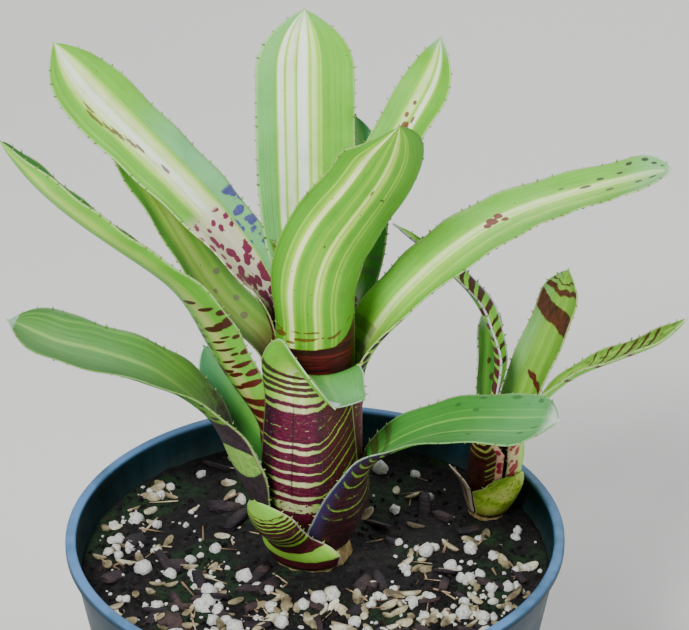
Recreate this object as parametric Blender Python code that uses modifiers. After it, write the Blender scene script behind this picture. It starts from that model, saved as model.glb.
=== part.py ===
"""A potted neoregelia bromeliad: a vase-shaped mother rosette and one young offset in a green plastic pot.

The frame is in metres with +Z up. The origin is the centre of the pot's underside, which stands on the
table. +X is to the right and -Y is the side that faces a viewer. Named lengths are in millimetres, and
headings are degrees around +Z, with 0 to the right, 90 to the rear and 270 to the front.
"""

import math
import random

import bmesh
import bpy
from mathutils import Matrix, Vector, noise

MM = 0.001
CLEARANCE = 0.3  # gap between pieces that rest on each other
MERGE = 0.0001  # distance in metres within which the Screw modifier joins points

# The pot, a common 6 inch azalea pot
POT_HEIGHT = 118.0
RIM_RADIUS = 82.5
LIP_WIDTH = 3.6
LIP_DEPTH = 3.0
LIP_OVERHANG = 1.3
WALL = 1.5
MOUTH_RADIUS = RIM_RADIUS - LIP_WIDTH
FOOT_RADIUS = 60.0
FOOT_ROUND = 3.0
FLOOR = 2.5
DRAIN_HOLES = 6
DRAIN_RADIUS = 4.0
DRAIN_CIRCLE = 46.0
POT_SIDES = 48

# The potting mix
SOIL_TOP = POT_HEIGHT - 12.0
SOIL_RINGS = 5
SOIL_RELIEF = 1.3
RELIEF_SIZE = 16.0
LUMPS = 46  # perlite
LUMP_SIZE = (1.5, 3.2)
CHIPS = 22  # rice hulls and bark
CHIP_SIZE = (3.5, 6.5)
BARE_ROUND_MOTHER = 27.0
BARE_ROUND_OFFSET = 17.0
BARE_AT_WALL = 6.0
SEED = 11

# The leaves
BLADE = 0.8  # thickness
COLUMNS = 4  # strips across a leaf
TOOTH = 1.2  # length of a marginal spine
TOOTH_SPACING = 6.0
SHEATH_ROWS = 5


def mix(a, b, share):
    return a + (b - a) * share


class Rosette:
    """Where a rosette stands and the nested tube that its leaf bases make. Level 0 is the outermost leaf
    of the tube, inner leaves count up, and the old leaves outside the tube count down."""

    def __init__(self, centre, tilt, stem, stem_top, tube, flare, step, foot, foot_step, old_foot_step):
        self.centre = Vector((centre[0], centre[1], SOIL_TOP))
        self.tilt = tilt
        self.stem = stem
        self.stem_top = stem_top
        self.tube = tube
        self.flare = flare
        self.step = step
        self.foot = foot
        self.foot_step = foot_step
        self.old_foot_step = old_foot_step

    def axis(self, height):
        """The point of the rosette's axis at a height above the soil. tilt is its lean towards +X."""
        return self.centre + Vector((self.tilt * height, 0, height))

    def foot_height(self, level):
        return self.foot + level * (self.foot_step if level >= 0 else self.old_foot_step)

    def stem_radius(self, height):
        """Radius of the stem at a height. It tapers from stem at the soil to a quarter of that at its top."""
        return self.stem * mix(1.0, 0.25, height / self.stem_top)

    def radius(self, level, height):
        """Radius of the middle of a leaf base of this level, at a height above the soil."""
        foot = self.foot_height(level)
        rise = min(max((height - foot) / self.flare, 0.0), 1.0)
        inner = self.stem_radius(foot) + CLEARANCE + BLADE / 2
        return inner + (self.tube - self.step * level - inner) * math.sin(rise * math.pi / 2)


MOTHER = Rosette(centre=(-1.0, 6.0), tilt=0.0, stem=13.5, stem_top=37.0, tube=18.0, flare=26.0, step=2.0,
                 foot=12.0, foot_step=4.5, old_foot_step=5.4)
OFFSET = Rosette(centre=(58.5, 31.0), tilt=0.12, stem=6.5, stem_top=12.0, tube=8.8, flare=14.0, step=1.6,
                 foot=4.0, foot_step=3.0, old_foot_step=2.4)
MOTHER_STEM_DEPTH = 34.0
OFFSET_STEM_DEPTH = 24.0
STOLON_RADIUS = 2.2
STOLON_DEPTH = 15.0


def leaf(name, rosette, level, facing, wrap, parting, length, half_width, lean, heading, cup,
         roll=(0, 0), neck=0.85, tip=0.8):
    """One leaf: its base wraps the rosette up to the parting height, then its blade goes its own way.

    facing is the side of the rosette that the base is on. wrap is half the angle that the base covers, at
    its foot and at the parting. lean (from the vertical), heading, cup (the bend across the blade) and
    roll are read along the blade as smooth curves. neck is the width at the blade's base and tip is where
    the tip begins to narrow, both as shares of the whole.
    """
    return dict(name=name, rosette=rosette, level=level, facing=facing, wrap=wrap, parting=parting,
                length=length, half_width=half_width, lean=lean, heading=heading, cup=cup, roll=roll,
                neck=neck, tip=tip)


LEAVES = (
    leaf("front_leaf", MOTHER, 0, 266, wrap=(70, 50), parting=64, length=36, half_width=17.5,
         lean=(3, 10, 75, 102, 108), heading=(270, 288, 304), cup=(120, 110, 80, 60), neck=1.0, tip=0.75),
    leaf("rear_leaf", MOTHER, 0, 80, wrap=(50, 36), parting=62, length=88, half_width=11.5,
         lean=(50, 38, 12, -6, 9), heading=(52, 66), cup=(80, 60, 40, 30), roll=(-6, -4)),
    leaf("left_long_leaf", MOTHER, 1, 185, wrap=(80, 48), parting=42, length=145, half_width=15,
         lean=(40, 30, 24, 45, 47, 40, 26), heading=(170, 197, 194), cup=(165, 140, 90, 100, 90),
         roll=(26, 22, 16)),
    leaf("right_long_leaf", MOTHER, 1, 8, wrap=(80, 58), parting=56, length=146, half_width=14.2,
         lean=(-5, 30, 60, 79, 83, 74, 63), heading=(-6, 42, -18), cup=(140, 90, 60, 50, 40),
         roll=(2, 20, 12), tip=0.9),
    leaf("inner_front_leaf", MOTHER, 2, 282, wrap=(68, 65), parting=84, length=83, half_width=18,
         lean=(-12, 7, 36, 31, -1), heading=(28, 4), cup=(140, 110, 80, 60), roll=(-6, 27)),
    leaf("left_rear_leaf", MOTHER, 2, 150, wrap=(52, 44), parting=62, length=98, half_width=11,
         lean=(44, 54, 36, 38, 50), heading=(152, 152), cup=(90, 60, 50, 40), roll=(5, 5)),
    leaf("upper_left_leaf", MOTHER, 3, 158, wrap=(56, 52), parting=78, length=123, half_width=14.5,
         lean=(20, 36, 48, 53, 52, 32), heading=(156, 151), cup=(110, 60, 40, 30, 30), roll=(0, -12, -18)),
    leaf("upper_right_leaf", MOTHER, 3, 40, wrap=(54, 52), parting=78, length=105, half_width=10,
         lean=(6, 16, 26, 31, 33, 0), heading=(42, 26), cup=(110, 80, 60, 40), roll=(0, 8)),
    leaf("upright_leaf", MOTHER, 4, 95, wrap=(76, 70), parting=88, length=98, half_width=16,
         lean=(10, 11, 7, 10, 20), heading=(102, 87), cup=(130, 60, 30, 20), roll=(-4, 8)),
    leaf("heart_leaf", MOTHER, 5, 205, wrap=(50, 60), parting=86, length=34, half_width=6.5,
         lean=(0, 10, 20), heading=(190, 190), cup=(140, 120, 90)),
    leaf("lower_left_leaf", MOTHER, -1, 195, wrap=(38, 34), parting=13, length=124, half_width=17.4,
         lean=(34, 24, 20, 36, 56, 70, 68, 58), heading=(208, 193, 171), cup=(90, 100, 70, 50, 40),
         roll=(10, 0, -8), tip=0.88),
    leaf("lower_right_leaf", MOTHER, -1, 317, wrap=(62, 50), parting=20, length=97, half_width=15.2,
         lean=(0, 16, 48, 59, 73, 77, 58), heading=(345, 334, 338), cup=(120, 90, 60, 50, 40),
         roll=(20, 25), tip=0.88),
    leaf("lower_rear_leaf", MOTHER, -1, 125, wrap=(26, 26), parting=20, length=52, half_width=9,
         lean=(50, 45, 37, 41), heading=(150, 150), cup=(60, 60, 50, 40)),
    leaf("base_leaf", MOTHER, -2, 246, wrap=(62, 60), parting=6, length=41, half_width=10.8,
         lean=(73, 49, 28, 14), heading=(245, 228), cup=(130, 120, 130), tip=0.6, roll=(5, -6)),
    leaf("offset_front_leaf", OFFSET, 0, 226, wrap=(60, 54), parting=27, length=16, half_width=6,
         lean=(0, 4), heading=(255, 255), cup=(120, 110, 100)),
    leaf("offset_rear_leaf", OFFSET, 0, 125, wrap=(34, 30), parting=27, length=48, half_width=5.6,
         lean=(2, 6, 8, 10), heading=(70, 80), cup=(90, 80, 60)),
    leaf("offset_left_leaf", OFFSET, 2, 165, wrap=(58, 50), parting=28, length=93, half_width=6.5,
         lean=(-20, -15, 4, 22, 41, 48, 53), heading=(178, 175), cup=(110, 110, 100, 80),
         roll=(0, 10), tip=0.35),
    leaf("offset_right_leaf", OFFSET, 0, 323, wrap=(33, 33), parting=23, length=88, half_width=6.8,
         lean=(23, 26, 37, 52, 60, 52, 31), heading=(-16, -20), cup=(90, 90, 80, 70), roll=(12, 22)),
    leaf("offset_upright_leaf", OFFSET, 1, 30, wrap=(62, 54), parting=28, length=62, half_width=8.8,
         lean=(10, 20, 26, 22, 6), heading=(28, 32), cup=(110, 70, 50, 40), roll=(16, 8)),
    leaf("offset_scale_leaf", OFFSET, -1, 305, wrap=(72, 78), parting=12, length=9, half_width=10,
         lean=(14, 16), heading=(320, 330), cup=(130, 110), tip=0.1, neck=1.0),
    leaf("offset_dry_scale", OFFSET, -1, 200, wrap=(24, 24), parting=9, length=14, half_width=4.5,
         lean=(48, 44, 30), heading=(200, 200), cup=(50, 50), tip=0.1, neck=1.0),
)


# Curves

def ease(x):
    x = min(max(x, 0.0), 1.0)
    return x * x * (3 - 2 * x)


def along(knots, t):
    """The value at t, from 0 to 1, of a smooth curve through evenly spaced knots."""
    spans = len(knots) - 1
    i = min(int(t * spans), spans - 1)
    u = t * spans - i
    before, a, b, after = knots[max(i - 1, 0)], knots[i], knots[i + 1], knots[min(i + 2, spans)]
    return 0.5 * (2 * a + (b - before) * u + (2 * before - 5 * a + 4 * b - after) * u * u
                  + (3 * a - before - 3 * b + after) * u ** 3)


def radial(heading):
    return Vector((math.cos(math.radians(heading)), math.sin(math.radians(heading)), 0.0))


def direction(lean, heading):
    tilt = math.radians(lean)
    return radial(heading) * math.sin(tilt) + Vector((0, 0, math.cos(tilt)))


# Leaves

def blade_outline(b, neck, tip):
    """Half width of a blade as a share of its widest, at b from its base to its tip."""
    if b <= tip:
        return mix(neck, 1.0, ease(b / 0.5))
    return (1 - ((b - tip) / (1 - tip)) ** 2.2) ** 0.8


def sheath_heights(spec):
    """Heights of the leaf base's sections: close together where the base flares, then up to the parting."""
    foot = spec["rosette"].foot_height(spec["level"])
    flared = min(foot + spec["rosette"].flare, spec["parting"])
    heights = [mix(foot, flared, i / (SHEATH_ROWS - 1)) for i in range(SHEATH_ROWS)]
    if spec["parting"] > flared:
        heights.append(mix(flared, spec["parting"], 0.5))
        heights.append(spec["parting"])
    return heights


def leaf_rows(spec):
    """Sections from foot to tip, each with its centre, side and inward directions, half width, half angle
    and whether it has spines. The last is the tip's point."""
    rosette, level = spec["rosette"], spec["level"]
    outward = radial(spec["facing"])
    side = radial(spec["facing"] + 90)
    heights = sheath_heights(spec)
    rows = []
    for height in heights:
        share = (height - heights[0]) / (heights[-1] - heights[0])
        wrap = math.radians(mix(*spec["wrap"], share))
        radius = rosette.radius(level, height) / math.cos(wrap / COLUMNS)
        centre = rosette.axis(height) + outward * radius
        rows.append((centre, side, -outward, wrap * radius, wrap, False))
    centre, _, _, sheath_half, wrap, _ = rows[-1]
    slope = rosette.radius(level, heights[-1]) - rosette.radius(level, heights[-1] - 1)
    forward = (outward * slope + Vector((0, 0, 1))).normalized()
    inward = forward.cross(side)
    count = max(4, round(spec["length"] / TOOTH_SPACING))
    reached = 0.0
    for i in range(1, count + 1):
        b = i / count * (1.25 - 0.25 * i / count)
        middle = (b + reached) / 2
        turned = ease(middle * spec["length"] / 18)
        wanted = direction(along(spec["lean"], middle), along(spec["heading"], middle))
        forward = forward.lerp(wanted, turned).normalized()
        inward = (inward - forward * inward.dot(forward)).normalized()
        centre = centre + forward * (b - reached) * spec["length"]
        reached = b
        own = ease(b / 0.25)
        rolled = Matrix.Rotation(math.radians(along(spec["roll"], b)), 3, forward) @ inward
        towards = (-outward).lerp(rolled, own).normalized()
        across = towards.cross(forward).normalized()
        half = mix(sheath_half, spec["half_width"] * blade_outline(b, spec["neck"], spec["tip"]), own)
        angle = mix(wrap, math.radians(along(spec["cup"], b)) / 2, own)
        rows.append((centre, across, towards, half, angle, True))
    return rows


def section(row):
    """Points across a leaf, on an arc that opens towards the rosette's axis."""
    centre, across, inward, half, angle, _ = row
    points = []
    for j in range(COLUMNS + 1):
        turn = angle * (2 * j / COLUMNS - 1)
        points.append(centre + across * (half * math.sin(turn) / angle)
                      + inward * (half * (1 - math.cos(turn)) / angle))
    return points


def leaf_mesh(spec):
    """The middle surface of a leaf: a loft between its unlike sections, in triangles, with a spine on each
    margin of the blade at every section."""
    rows = leaf_rows(spec)
    mesh = bmesh.new()
    lines = [[mesh.verts.new(point * MM) for point in section(row)] for row in rows[:-1]]
    tip = mesh.verts.new(rows[-1][0] * MM)
    for row, low, high in zip(rows, lines, lines[1:]):
        for j in range(COLUMNS):
            mesh.faces.new((low[j], low[j + 1], high[j + 1]))
            mesh.faces.new((low[j], high[j + 1], high[j]))
        if not row[5]:
            continue
        for edge, inner in ((0, 1), (COLUMNS, COLUMNS - 1)):
            outward = (high[edge].co - high[inner].co).normalized()
            spine = mesh.verts.new(low[edge].co.lerp(high[edge].co, 0.9) + outward * TOOTH * MM)
            corners = (low[edge], spine, high[edge])
            mesh.faces.new(corners if edge else corners[::-1])
    for j in range(COLUMNS):
        mesh.faces.new((lines[-1][j], lines[-1][j + 1], tip))
    data = bpy.data.meshes.new(spec["name"])
    mesh.to_mesh(data)
    mesh.free()
    return data


def build_leaf(spec, collection, material):
    obj = new_object(spec["name"], leaf_mesh(spec), collection, material)
    thick = obj.modifiers.new("blade_thickness", "SOLIDIFY")
    thick.thickness = BLADE * MM
    thick.offset = 0.0
    obj.data.shade_smooth()


# Scene set-up

def clear_scene():
    for obj in list(bpy.data.objects):
        bpy.data.objects.remove(obj, do_unlink=True)


def new_collection(name):
    collection = bpy.data.collections.new(name)
    bpy.context.scene.collection.children.link(collection)
    return collection


def finish(name, colour, roughness):
    material = bpy.data.materials.new(name)
    material.use_nodes = True
    shader = material.node_tree.nodes["Principled BSDF"]
    shader.inputs["Base Color"].default_value = (*colour, 1.0)
    shader.inputs["Roughness"].default_value = roughness
    shader.inputs["Metallic"].default_value = 0.0
    return material


def new_object(name, data, collection, material=None):
    obj = bpy.data.objects.new(name, data)
    collection.objects.link(obj)
    if material:
        data.materials.append(material)
    return obj


def as_cutter(obj):
    obj.hide_render = True
    obj.display_type = "WIRE"
    return obj


def evaluated_mesh(obj):
    """The object's mesh with its modifiers applied, and the caps of a curve welded on."""
    mesh = bpy.data.meshes.new_from_object(obj.evaluated_get(bpy.context.evaluated_depsgraph_get()))
    welded = bmesh.new()
    welded.from_mesh(mesh)
    bmesh.ops.remove_doubles(welded, verts=welded.verts, dist=MERGE / 10)
    welded.to_mesh(mesh)
    welded.free()
    return mesh


def freeze(obj):
    """Turn an object and its modifiers into a plain mesh object of the same name."""
    mesh = evaluated_mesh(obj)
    name, collection, place = obj.name, obj.users_collection[0], obj.matrix_world.copy()
    bpy.data.objects.remove(obj, do_unlink=True)
    solid = new_object(name, mesh, collection)
    solid.matrix_world = place
    return solid


def combine(obj, operation, collection):
    """Join or cut an object with all of a collection, then remove that collection's objects."""
    boolean = obj.modifiers.new("combine", "BOOLEAN")
    boolean.operation = operation
    boolean.operand_type = "COLLECTION"
    boolean.collection = collection
    boolean.solver = "EXACT"
    obj = freeze(obj)
    for used in list(collection.objects):
        bpy.data.objects.remove(used, do_unlink=True)
    return obj


def turned(name, profile, sides, collection):
    """A shape turned about +Z from a list of (radius, height) points in millimetres."""
    outline = bmesh.new()
    points = [outline.verts.new((r * MM, 0.0, z * MM)) for r, z in profile]
    for a, b in zip(points, points[1:]):
        outline.edges.new((a, b))
    data = bpy.data.meshes.new(name)
    outline.to_mesh(data)
    outline.free()
    obj = new_object(name, data, collection)
    screw = obj.modifiers.new("turn", "SCREW")
    screw.axis = "Z"
    screw.steps = sides
    screw.render_steps = sides
    screw.use_merge_vertices = True
    screw.merge_threshold = MERGE
    return obj


# The pot

def wall_radius(height, inner):
    """Radius of the pot's wall at a height, on its inner or outer face."""
    outer_top = RIM_RADIUS - LIP_OVERHANG
    outer = mix(FOOT_RADIUS, outer_top, height / POT_HEIGHT)
    return outer - WALL if inner else outer


def build_pot(collection, cutters, material):
    lip_bottom = POT_HEIGHT - LIP_DEPTH
    lip_inner_bottom = POT_HEIGHT - LIP_DEPTH * 1.5
    profile = [
        (0, FLOOR),
        (wall_radius(FLOOR, True) - FOOT_ROUND, FLOOR),
        (wall_radius(FLOOR + FOOT_ROUND, True), FLOOR + FOOT_ROUND),
        (wall_radius(lip_inner_bottom, True), lip_inner_bottom),
        (MOUTH_RADIUS, POT_HEIGHT - 0.6),
        (MOUTH_RADIUS + 0.5, POT_HEIGHT),
        (RIM_RADIUS - 0.8, POT_HEIGHT),
        (RIM_RADIUS, POT_HEIGHT - 0.8),
        (RIM_RADIUS, lip_bottom + 0.5),
        (RIM_RADIUS - 0.5, lip_bottom),
        (wall_radius(lip_bottom, False), lip_bottom),
        (wall_radius(FOOT_ROUND, False), FOOT_ROUND),
        (wall_radius(0, False) - FOOT_ROUND, 0),
        (0, 0),
    ]
    pot = turned("pot", profile, POT_SIDES, collection)
    for i in range(DRAIN_HOLES):
        place = radial(360 * i / DRAIN_HOLES) * DRAIN_CIRCLE * MM
        hole = bmesh.new()
        bmesh.ops.create_cone(hole, cap_ends=True, segments=12, radius1=DRAIN_RADIUS * MM,
                              radius2=DRAIN_RADIUS * MM, depth=4 * FLOOR * MM, matrix=Matrix.Translation(place))
        data = bpy.data.meshes.new("drain_hole")
        hole.to_mesh(data)
        hole.free()
        as_cutter(new_object("drain_hole", data, cutters))
    pot = combine(pot, "DIFFERENCE", cutters)
    pot.data.materials.append(material)
    pot.data.shade_smooth()
    pot.data.set_sharp_from_angle(angle=math.radians(35))


# The stem, which runs under the mix from the mother to the offset

def stem_piece(name, rosette, extra, depth, collection):
    """The short upright stem of a rosette, from its depth in the mix to its top between the leaves."""
    top = rosette.stem_top
    foot = rosette.stem + extra
    profile = [(0, top + extra), (rosette.stem_radius(top) + extra, top - 1.0 + extra), (foot, 0),
               (foot, -depth * 0.4), (foot * 0.5, -depth - extra), (0, -depth - extra)]
    stem = turned(name, profile, 16, collection)
    stem.location = rosette.centre * MM
    stem.rotation_euler.y = math.atan(rosette.tilt)
    return stem


def stolon_piece(name, extra, collection):
    """The runner between the two stems, under the surface of the mix."""
    start = MOTHER.centre + Vector((0, 0, -STOLON_DEPTH))
    end = OFFSET.centre + Vector((0, 0, -STOLON_DEPTH * 0.8))
    across = (end - start).normalized()
    middle = start.lerp(end, 0.5) + Vector((0, 0, -4)) - across.cross(Vector((0, 0, 1))) * 5
    data = bpy.data.curves.new(name, "CURVE")
    data.dimensions = "3D"
    data.bevel_depth = (STOLON_RADIUS + extra) * MM
    data.bevel_resolution = 2
    data.use_fill_caps = True
    data.resolution_u = 5
    data.render_resolution_u = 5
    spline = data.splines.new("BEZIER")
    spline.bezier_points.add(2)
    for point, place in zip(spline.bezier_points, (start, middle, end)):
        point.co = place * MM
        point.handle_left_type = "AUTO"
        point.handle_right_type = "AUTO"
    return freeze(new_object(name, data, collection))


def stem_pieces(extra, collection):
    """The pieces of the stem and stolon, or of the hole that they stand in, which is larger by extra."""
    pieces = [stem_piece("mother_stem", MOTHER, extra, MOTHER_STEM_DEPTH, collection),
              stem_piece("offset_stem", OFFSET, extra, OFFSET_STEM_DEPTH, collection),
              stolon_piece("stolon", extra, collection)]
    return pieces


def build_stem(collection, cutters, material):
    mother = stem_pieces(0.0, cutters)[0]
    cutters.objects.unlink(mother)
    collection.objects.link(mother)
    mother.name = "stem_and_stolon"
    for piece in cutters.objects:
        as_cutter(piece)
    stem = combine(mother, "UNION", cutters)
    stem.data.materials.append(material)
    stem.data.shade_smooth()


# The potting mix, a solid that fills the pot, with perlite, hulls and bark standing out of it

def soil_height(x, y):
    """Height of the mix at a place, level close to the stems and the wall."""
    spot = Vector((x, y, 0))
    clear = min((spot - Vector((r.centre.x, r.centre.y, 0))).length for r in (MOTHER, OFFSET))
    level = ease(clear / 30) * ease((wall_radius(SOIL_TOP, True) - spot.length) / 8)
    return SOIL_TOP + SOIL_RELIEF * level * noise.noise(spot / RELIEF_SIZE)


def build_soil_body(collection):
    reach = wall_radius(SOIL_TOP, True) - CLEARANCE
    low = FLOOR + CLEARANCE
    turn_in = FOOT_ROUND + CLEARANCE
    profile = [(reach * i / SOIL_RINGS, SOIL_TOP) for i in range(SOIL_RINGS + 1)]
    profile += [(wall_radius(low + turn_in, True) - CLEARANCE, low + turn_in),
                (wall_radius(low, True) - turn_in, low), (0, low)]
    body = freeze(turned("potting_mix", profile, POT_SIDES, collection))
    for vertex in body.data.vertices:
        x, y, z = vertex.co / MM
        if z > SOIL_TOP - 1:
            vertex.co.z = soil_height(x, y) * MM
    return body


def scatter(draw, count):
    """Places on the mix, crowded towards the front and the left, clear of the rosettes and the wall."""
    reach = wall_radius(SOIL_TOP, True) - BARE_AT_WALL
    places = []
    while len(places) < count:
        spot = radial(draw.uniform(0, 360)) * reach * math.sqrt(draw.random())
        crowd = mix(1.0, 0.25, ease((spot.y + 30) / 60)) if spot.x > -50 else 0.9
        if draw.random() > crowd:
            continue
        if (spot - MOTHER.centre.xy.to_3d()).length < BARE_ROUND_MOTHER:
            continue
        if (spot - OFFSET.centre.xy.to_3d()).length < BARE_ROUND_OFFSET:
            continue
        places.append(spot)
    return places


def add_lump(draw, spot, collection):
    """A lump of perlite, a rough ball more than half out of the mix."""
    size = draw.uniform(*LUMP_SIZE)
    lump = bmesh.new()
    bmesh.ops.create_icosphere(lump, subdivisions=1, radius=size * MM)
    for vertex in lump.verts:
        vertex.co *= draw.uniform(0.8, 1.15)
    data = bpy.data.meshes.new("perlite")
    lump.to_mesh(data)
    lump.free()
    obj = as_cutter(new_object("perlite", data, collection))
    obj.location = (spot + Vector((0, 0, soil_height(spot.x, spot.y) + size * 0.25))) * MM
    obj.rotation_euler = (draw.uniform(0, 3), draw.uniform(0, 3), draw.uniform(0, 3))


def add_chip(draw, spot, collection):
    """A rice hull or a chip of bark, a thin pointed sliver lying at a slant in the mix."""
    length = draw.uniform(*CHIP_SIZE)
    chip = bmesh.new()
    bmesh.ops.create_uvsphere(chip, u_segments=6, v_segments=4, radius=MM)
    bmesh.ops.scale(chip, vec=(length / 3, length / 5, length / 1.6), verts=chip.verts)
    data = bpy.data.meshes.new("chip")
    chip.to_mesh(data)
    chip.free()
    obj = as_cutter(new_object("chip", data, collection))
    obj.location = (spot + Vector((0, 0, soil_height(spot.x, spot.y)))) * MM
    obj.rotation_euler = (math.radians(draw.uniform(55, 85)), 0, draw.uniform(0, math.tau))


def build_mix(collection, cutters, material):
    body = build_soil_body(collection)
    draw = random.Random(SEED)
    for spot in scatter(draw, LUMPS):
        add_lump(draw, spot, cutters)
    for spot in scatter(draw, CHIPS):
        add_chip(draw, spot, cutters)
    body = combine(body, "UNION", cutters)
    for piece in stem_pieces(CLEARANCE, cutters):
        as_cutter(piece)
    body = combine(body, "DIFFERENCE", cutters)
    body.data.materials.append(material)
    body.data.shade_smooth()
    body.data.set_sharp_from_angle(angle=math.radians(30))


def main():
    clear_scene()
    parts = new_collection("neoregelia_bromeliad")
    cutters = new_collection("cutters")
    build_pot(parts, cutters, finish("teal_plastic", (0.035, 0.085, 0.095), 0.45))
    build_mix(parts, cutters, finish("potting_mix", (0.035, 0.028, 0.022), 0.95))
    build_stem(parts, cutters, finish("stem_tissue", (0.35, 0.30, 0.16), 0.6))
    for spec in LEAVES:
        banded = spec["rosette"] is OFFSET or spec["level"] <= 0
        tint = (0.26, 0.40, 0.10) if banded else (0.33, 0.52, 0.14)
        build_leaf(spec, parts, finish(spec["name"] + "_green", tint, 0.42))


main()
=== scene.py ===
# %% [markdown]
# # A potted neoregelia bromeliad
# The plant is a vase of strap leaves, striped with cream above and barred with maroon below, with one young
# plant beside it, in a dark green nursery pot of bark mix. The measured solids come in first as a frame, and
# every finer piece here takes its place from them. Lengths that a gardener would read are in millimetres.

import math
import random

import bpy
from mathutils import Euler, Matrix, Vector, noise


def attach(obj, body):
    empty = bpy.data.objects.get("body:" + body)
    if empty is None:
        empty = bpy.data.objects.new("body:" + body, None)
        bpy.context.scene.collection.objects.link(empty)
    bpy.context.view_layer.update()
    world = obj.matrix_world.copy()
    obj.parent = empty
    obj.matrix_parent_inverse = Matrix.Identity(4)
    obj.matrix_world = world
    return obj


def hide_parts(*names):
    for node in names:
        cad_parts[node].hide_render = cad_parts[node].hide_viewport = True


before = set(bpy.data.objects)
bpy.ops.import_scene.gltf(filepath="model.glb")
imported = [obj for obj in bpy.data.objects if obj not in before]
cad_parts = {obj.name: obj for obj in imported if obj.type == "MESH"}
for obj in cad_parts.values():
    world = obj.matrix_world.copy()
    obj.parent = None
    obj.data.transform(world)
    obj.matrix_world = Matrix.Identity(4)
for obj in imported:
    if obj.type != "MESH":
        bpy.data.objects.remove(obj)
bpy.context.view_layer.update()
MM = 0.001
print("nodes in the frame:", len(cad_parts))

# %% [markdown]
# The camera comes first, because every later choice is judged through it. The photograph was taken from
# about a metre away with a long lens, looking down by 28 degrees, so the leaves show little perspective.

# %% The camera
LOOK_DOWN = 28.41  # degrees below the horizon
FOCAL_PIXELS = 3000  # distance to the picture plane, in pixels of a picture 689 wide
PICTURE_WIDTH = 689
SENSOR = 36.0

camera_data = bpy.data.cameras.new("camera")
camera_data.sensor_width = SENSOR
camera_data.lens = FOCAL_PIXELS / PICTURE_WIDTH * SENSOR
camera_data.clip_start = 0.05
camera = bpy.data.objects.new("camera", camera_data)
camera.location = (0.0097, -0.8394, 0.6526)
camera.rotation_euler = (math.radians(90 - LOOK_DOWN), 0, 0)
bpy.context.scene.collection.objects.link(camera)
bpy.context.scene.camera = camera
print("lens", round(camera_data.lens, 1), "mm")

# %% [markdown]
# Shader maths is easier to read as a formula than as a row of nodes. A Value wraps one socket, and its
# operators add the Math nodes, so that 1 - mask or streaks * 0.6 can be written as it is said.

# %% A small notation for shader maths
class Value:
    """One socket of a material, to be used in plain arithmetic."""

    def __init__(self, paint, socket):
        self.paint = paint
        self.socket = socket

    def __add__(self, other):
        return self.paint.math("ADD", self, other)

    def __sub__(self, other):
        return self.paint.math("SUBTRACT", self, other)

    def __rsub__(self, other):
        return self.paint.math("SUBTRACT", other, self)

    def __mul__(self, other):
        return self.paint.math("MULTIPLY", self, other)

    def __truediv__(self, other):
        return self.paint.math("DIVIDE", self, other)

    def __abs__(self):
        return self.paint.math("ABSOLUTE", self)

    __radd__ = __add__
    __rmul__ = __mul__

# %% [markdown]
# A Paint is one material. Its add method makes any node from its type, its settings, and the values or
# links of its sockets. The short methods after it name the few nodes that every finish here is made of. A
# smooth step, a ramp, a blend and a noise are enough for plastic, bark and leaves alike.

# %% A material as a recipe
class Paint:
    """A material that is written as a recipe."""

    def __init__(self, name, roughness=0.5, specular=0.5):
        self.material = bpy.data.materials.new(name)
        self.material.use_nodes = True
        self.tree = self.material.node_tree
        self.shader = self.tree.nodes["Principled BSDF"]
        self.shader.inputs["Roughness"].default_value = roughness
        self.shader.inputs["Specular IOR Level"].default_value = specular

    def feed(self, socket, value):
        if isinstance(value, Value):
            self.tree.links.new(value.socket, socket)
        elif isinstance(value, tuple) and len(value) == 3 and len(socket.default_value) == 4:
            socket.default_value = (*value, 1.0)
        else:
            socket.default_value = value

    def add(self, kind, inputs=None, output=0, stops=None, **settings):
        """Any node: its settings and stops first, then the values or links of its sockets."""
        node = self.tree.nodes.new(kind)
        for name, setting in settings.items():
            setattr(node, name, setting)
        if stops:
            ramp = node.color_ramp
            while len(ramp.elements) < len(stops):
                ramp.elements.new(0.5)
            for element, (place, colour) in zip(ramp.elements, stops):
                element.position = place
                element.color = (*colour, 1.0) if isinstance(colour, tuple) else (colour,) * 3 + (1.0,)
        for name, value in (inputs or {}).items():
            self.feed(node.inputs[name], value)
        return Value(self, node.outputs[output])

    def math(self, operation, *values):
        return self.add("ShaderNodeMath", dict(enumerate(values)), operation=operation)

    def larger(self, a, b):
        return self.math("MAXIMUM", a, b)

    def step(self, value, low, high):
        """0 below low, 1 above high, and smooth between them. It falls instead where low is the larger."""
        return self.add("ShaderNodeMapRange", {"Value": value, "From Min": low, "From Max": high},
                        interpolation_type="SMOOTHSTEP", clamp=True)

    def blend(self, share, a, b):
        """The colour a where share is 0, and b where it is 1."""
        return self.add("ShaderNodeMix", {0: share, 6: a, 7: b}, output=2, data_type="RGBA")

    def ramp(self, value, stops):
        return self.add("ShaderNodeValToRGB", {"Fac": value}, stops=stops)

    def noise(self, place, scale, detail=2.0, rough=0.5):
        return self.add("ShaderNodeTexNoise", {"Vector": place, "Scale": scale, "Detail": detail,
                                               "Roughness": rough})

    def place(self, stretch=(1.0, 1.0, 1.0)):
        """Position on the object, stretched by three factors."""
        here = self.add("ShaderNodeTexCoord", output=3)
        return self.add("ShaderNodeMapping", {"Vector": here, "Scale": stretch})

    def bump(self, height, distance, strength=1.0):
        normal = self.add("ShaderNodeBump", {"Height": height, "Distance": distance, "Strength": strength})
        self.feed(self.shader.inputs["Normal"], normal)

    def finish(self, colour, roughness=None):
        self.feed(self.shader.inputs["Base Color"], colour)
        if roughness is not None:
            self.feed(self.shader.inputs["Roughness"], roughness)
        return self.material

# %% [markdown]
# A colour is easiest to pick as a screen shows it, from 0 to 255, but a shader works in light. The curve
# between the two is the screen's own, so each colour goes through it once.

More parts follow.
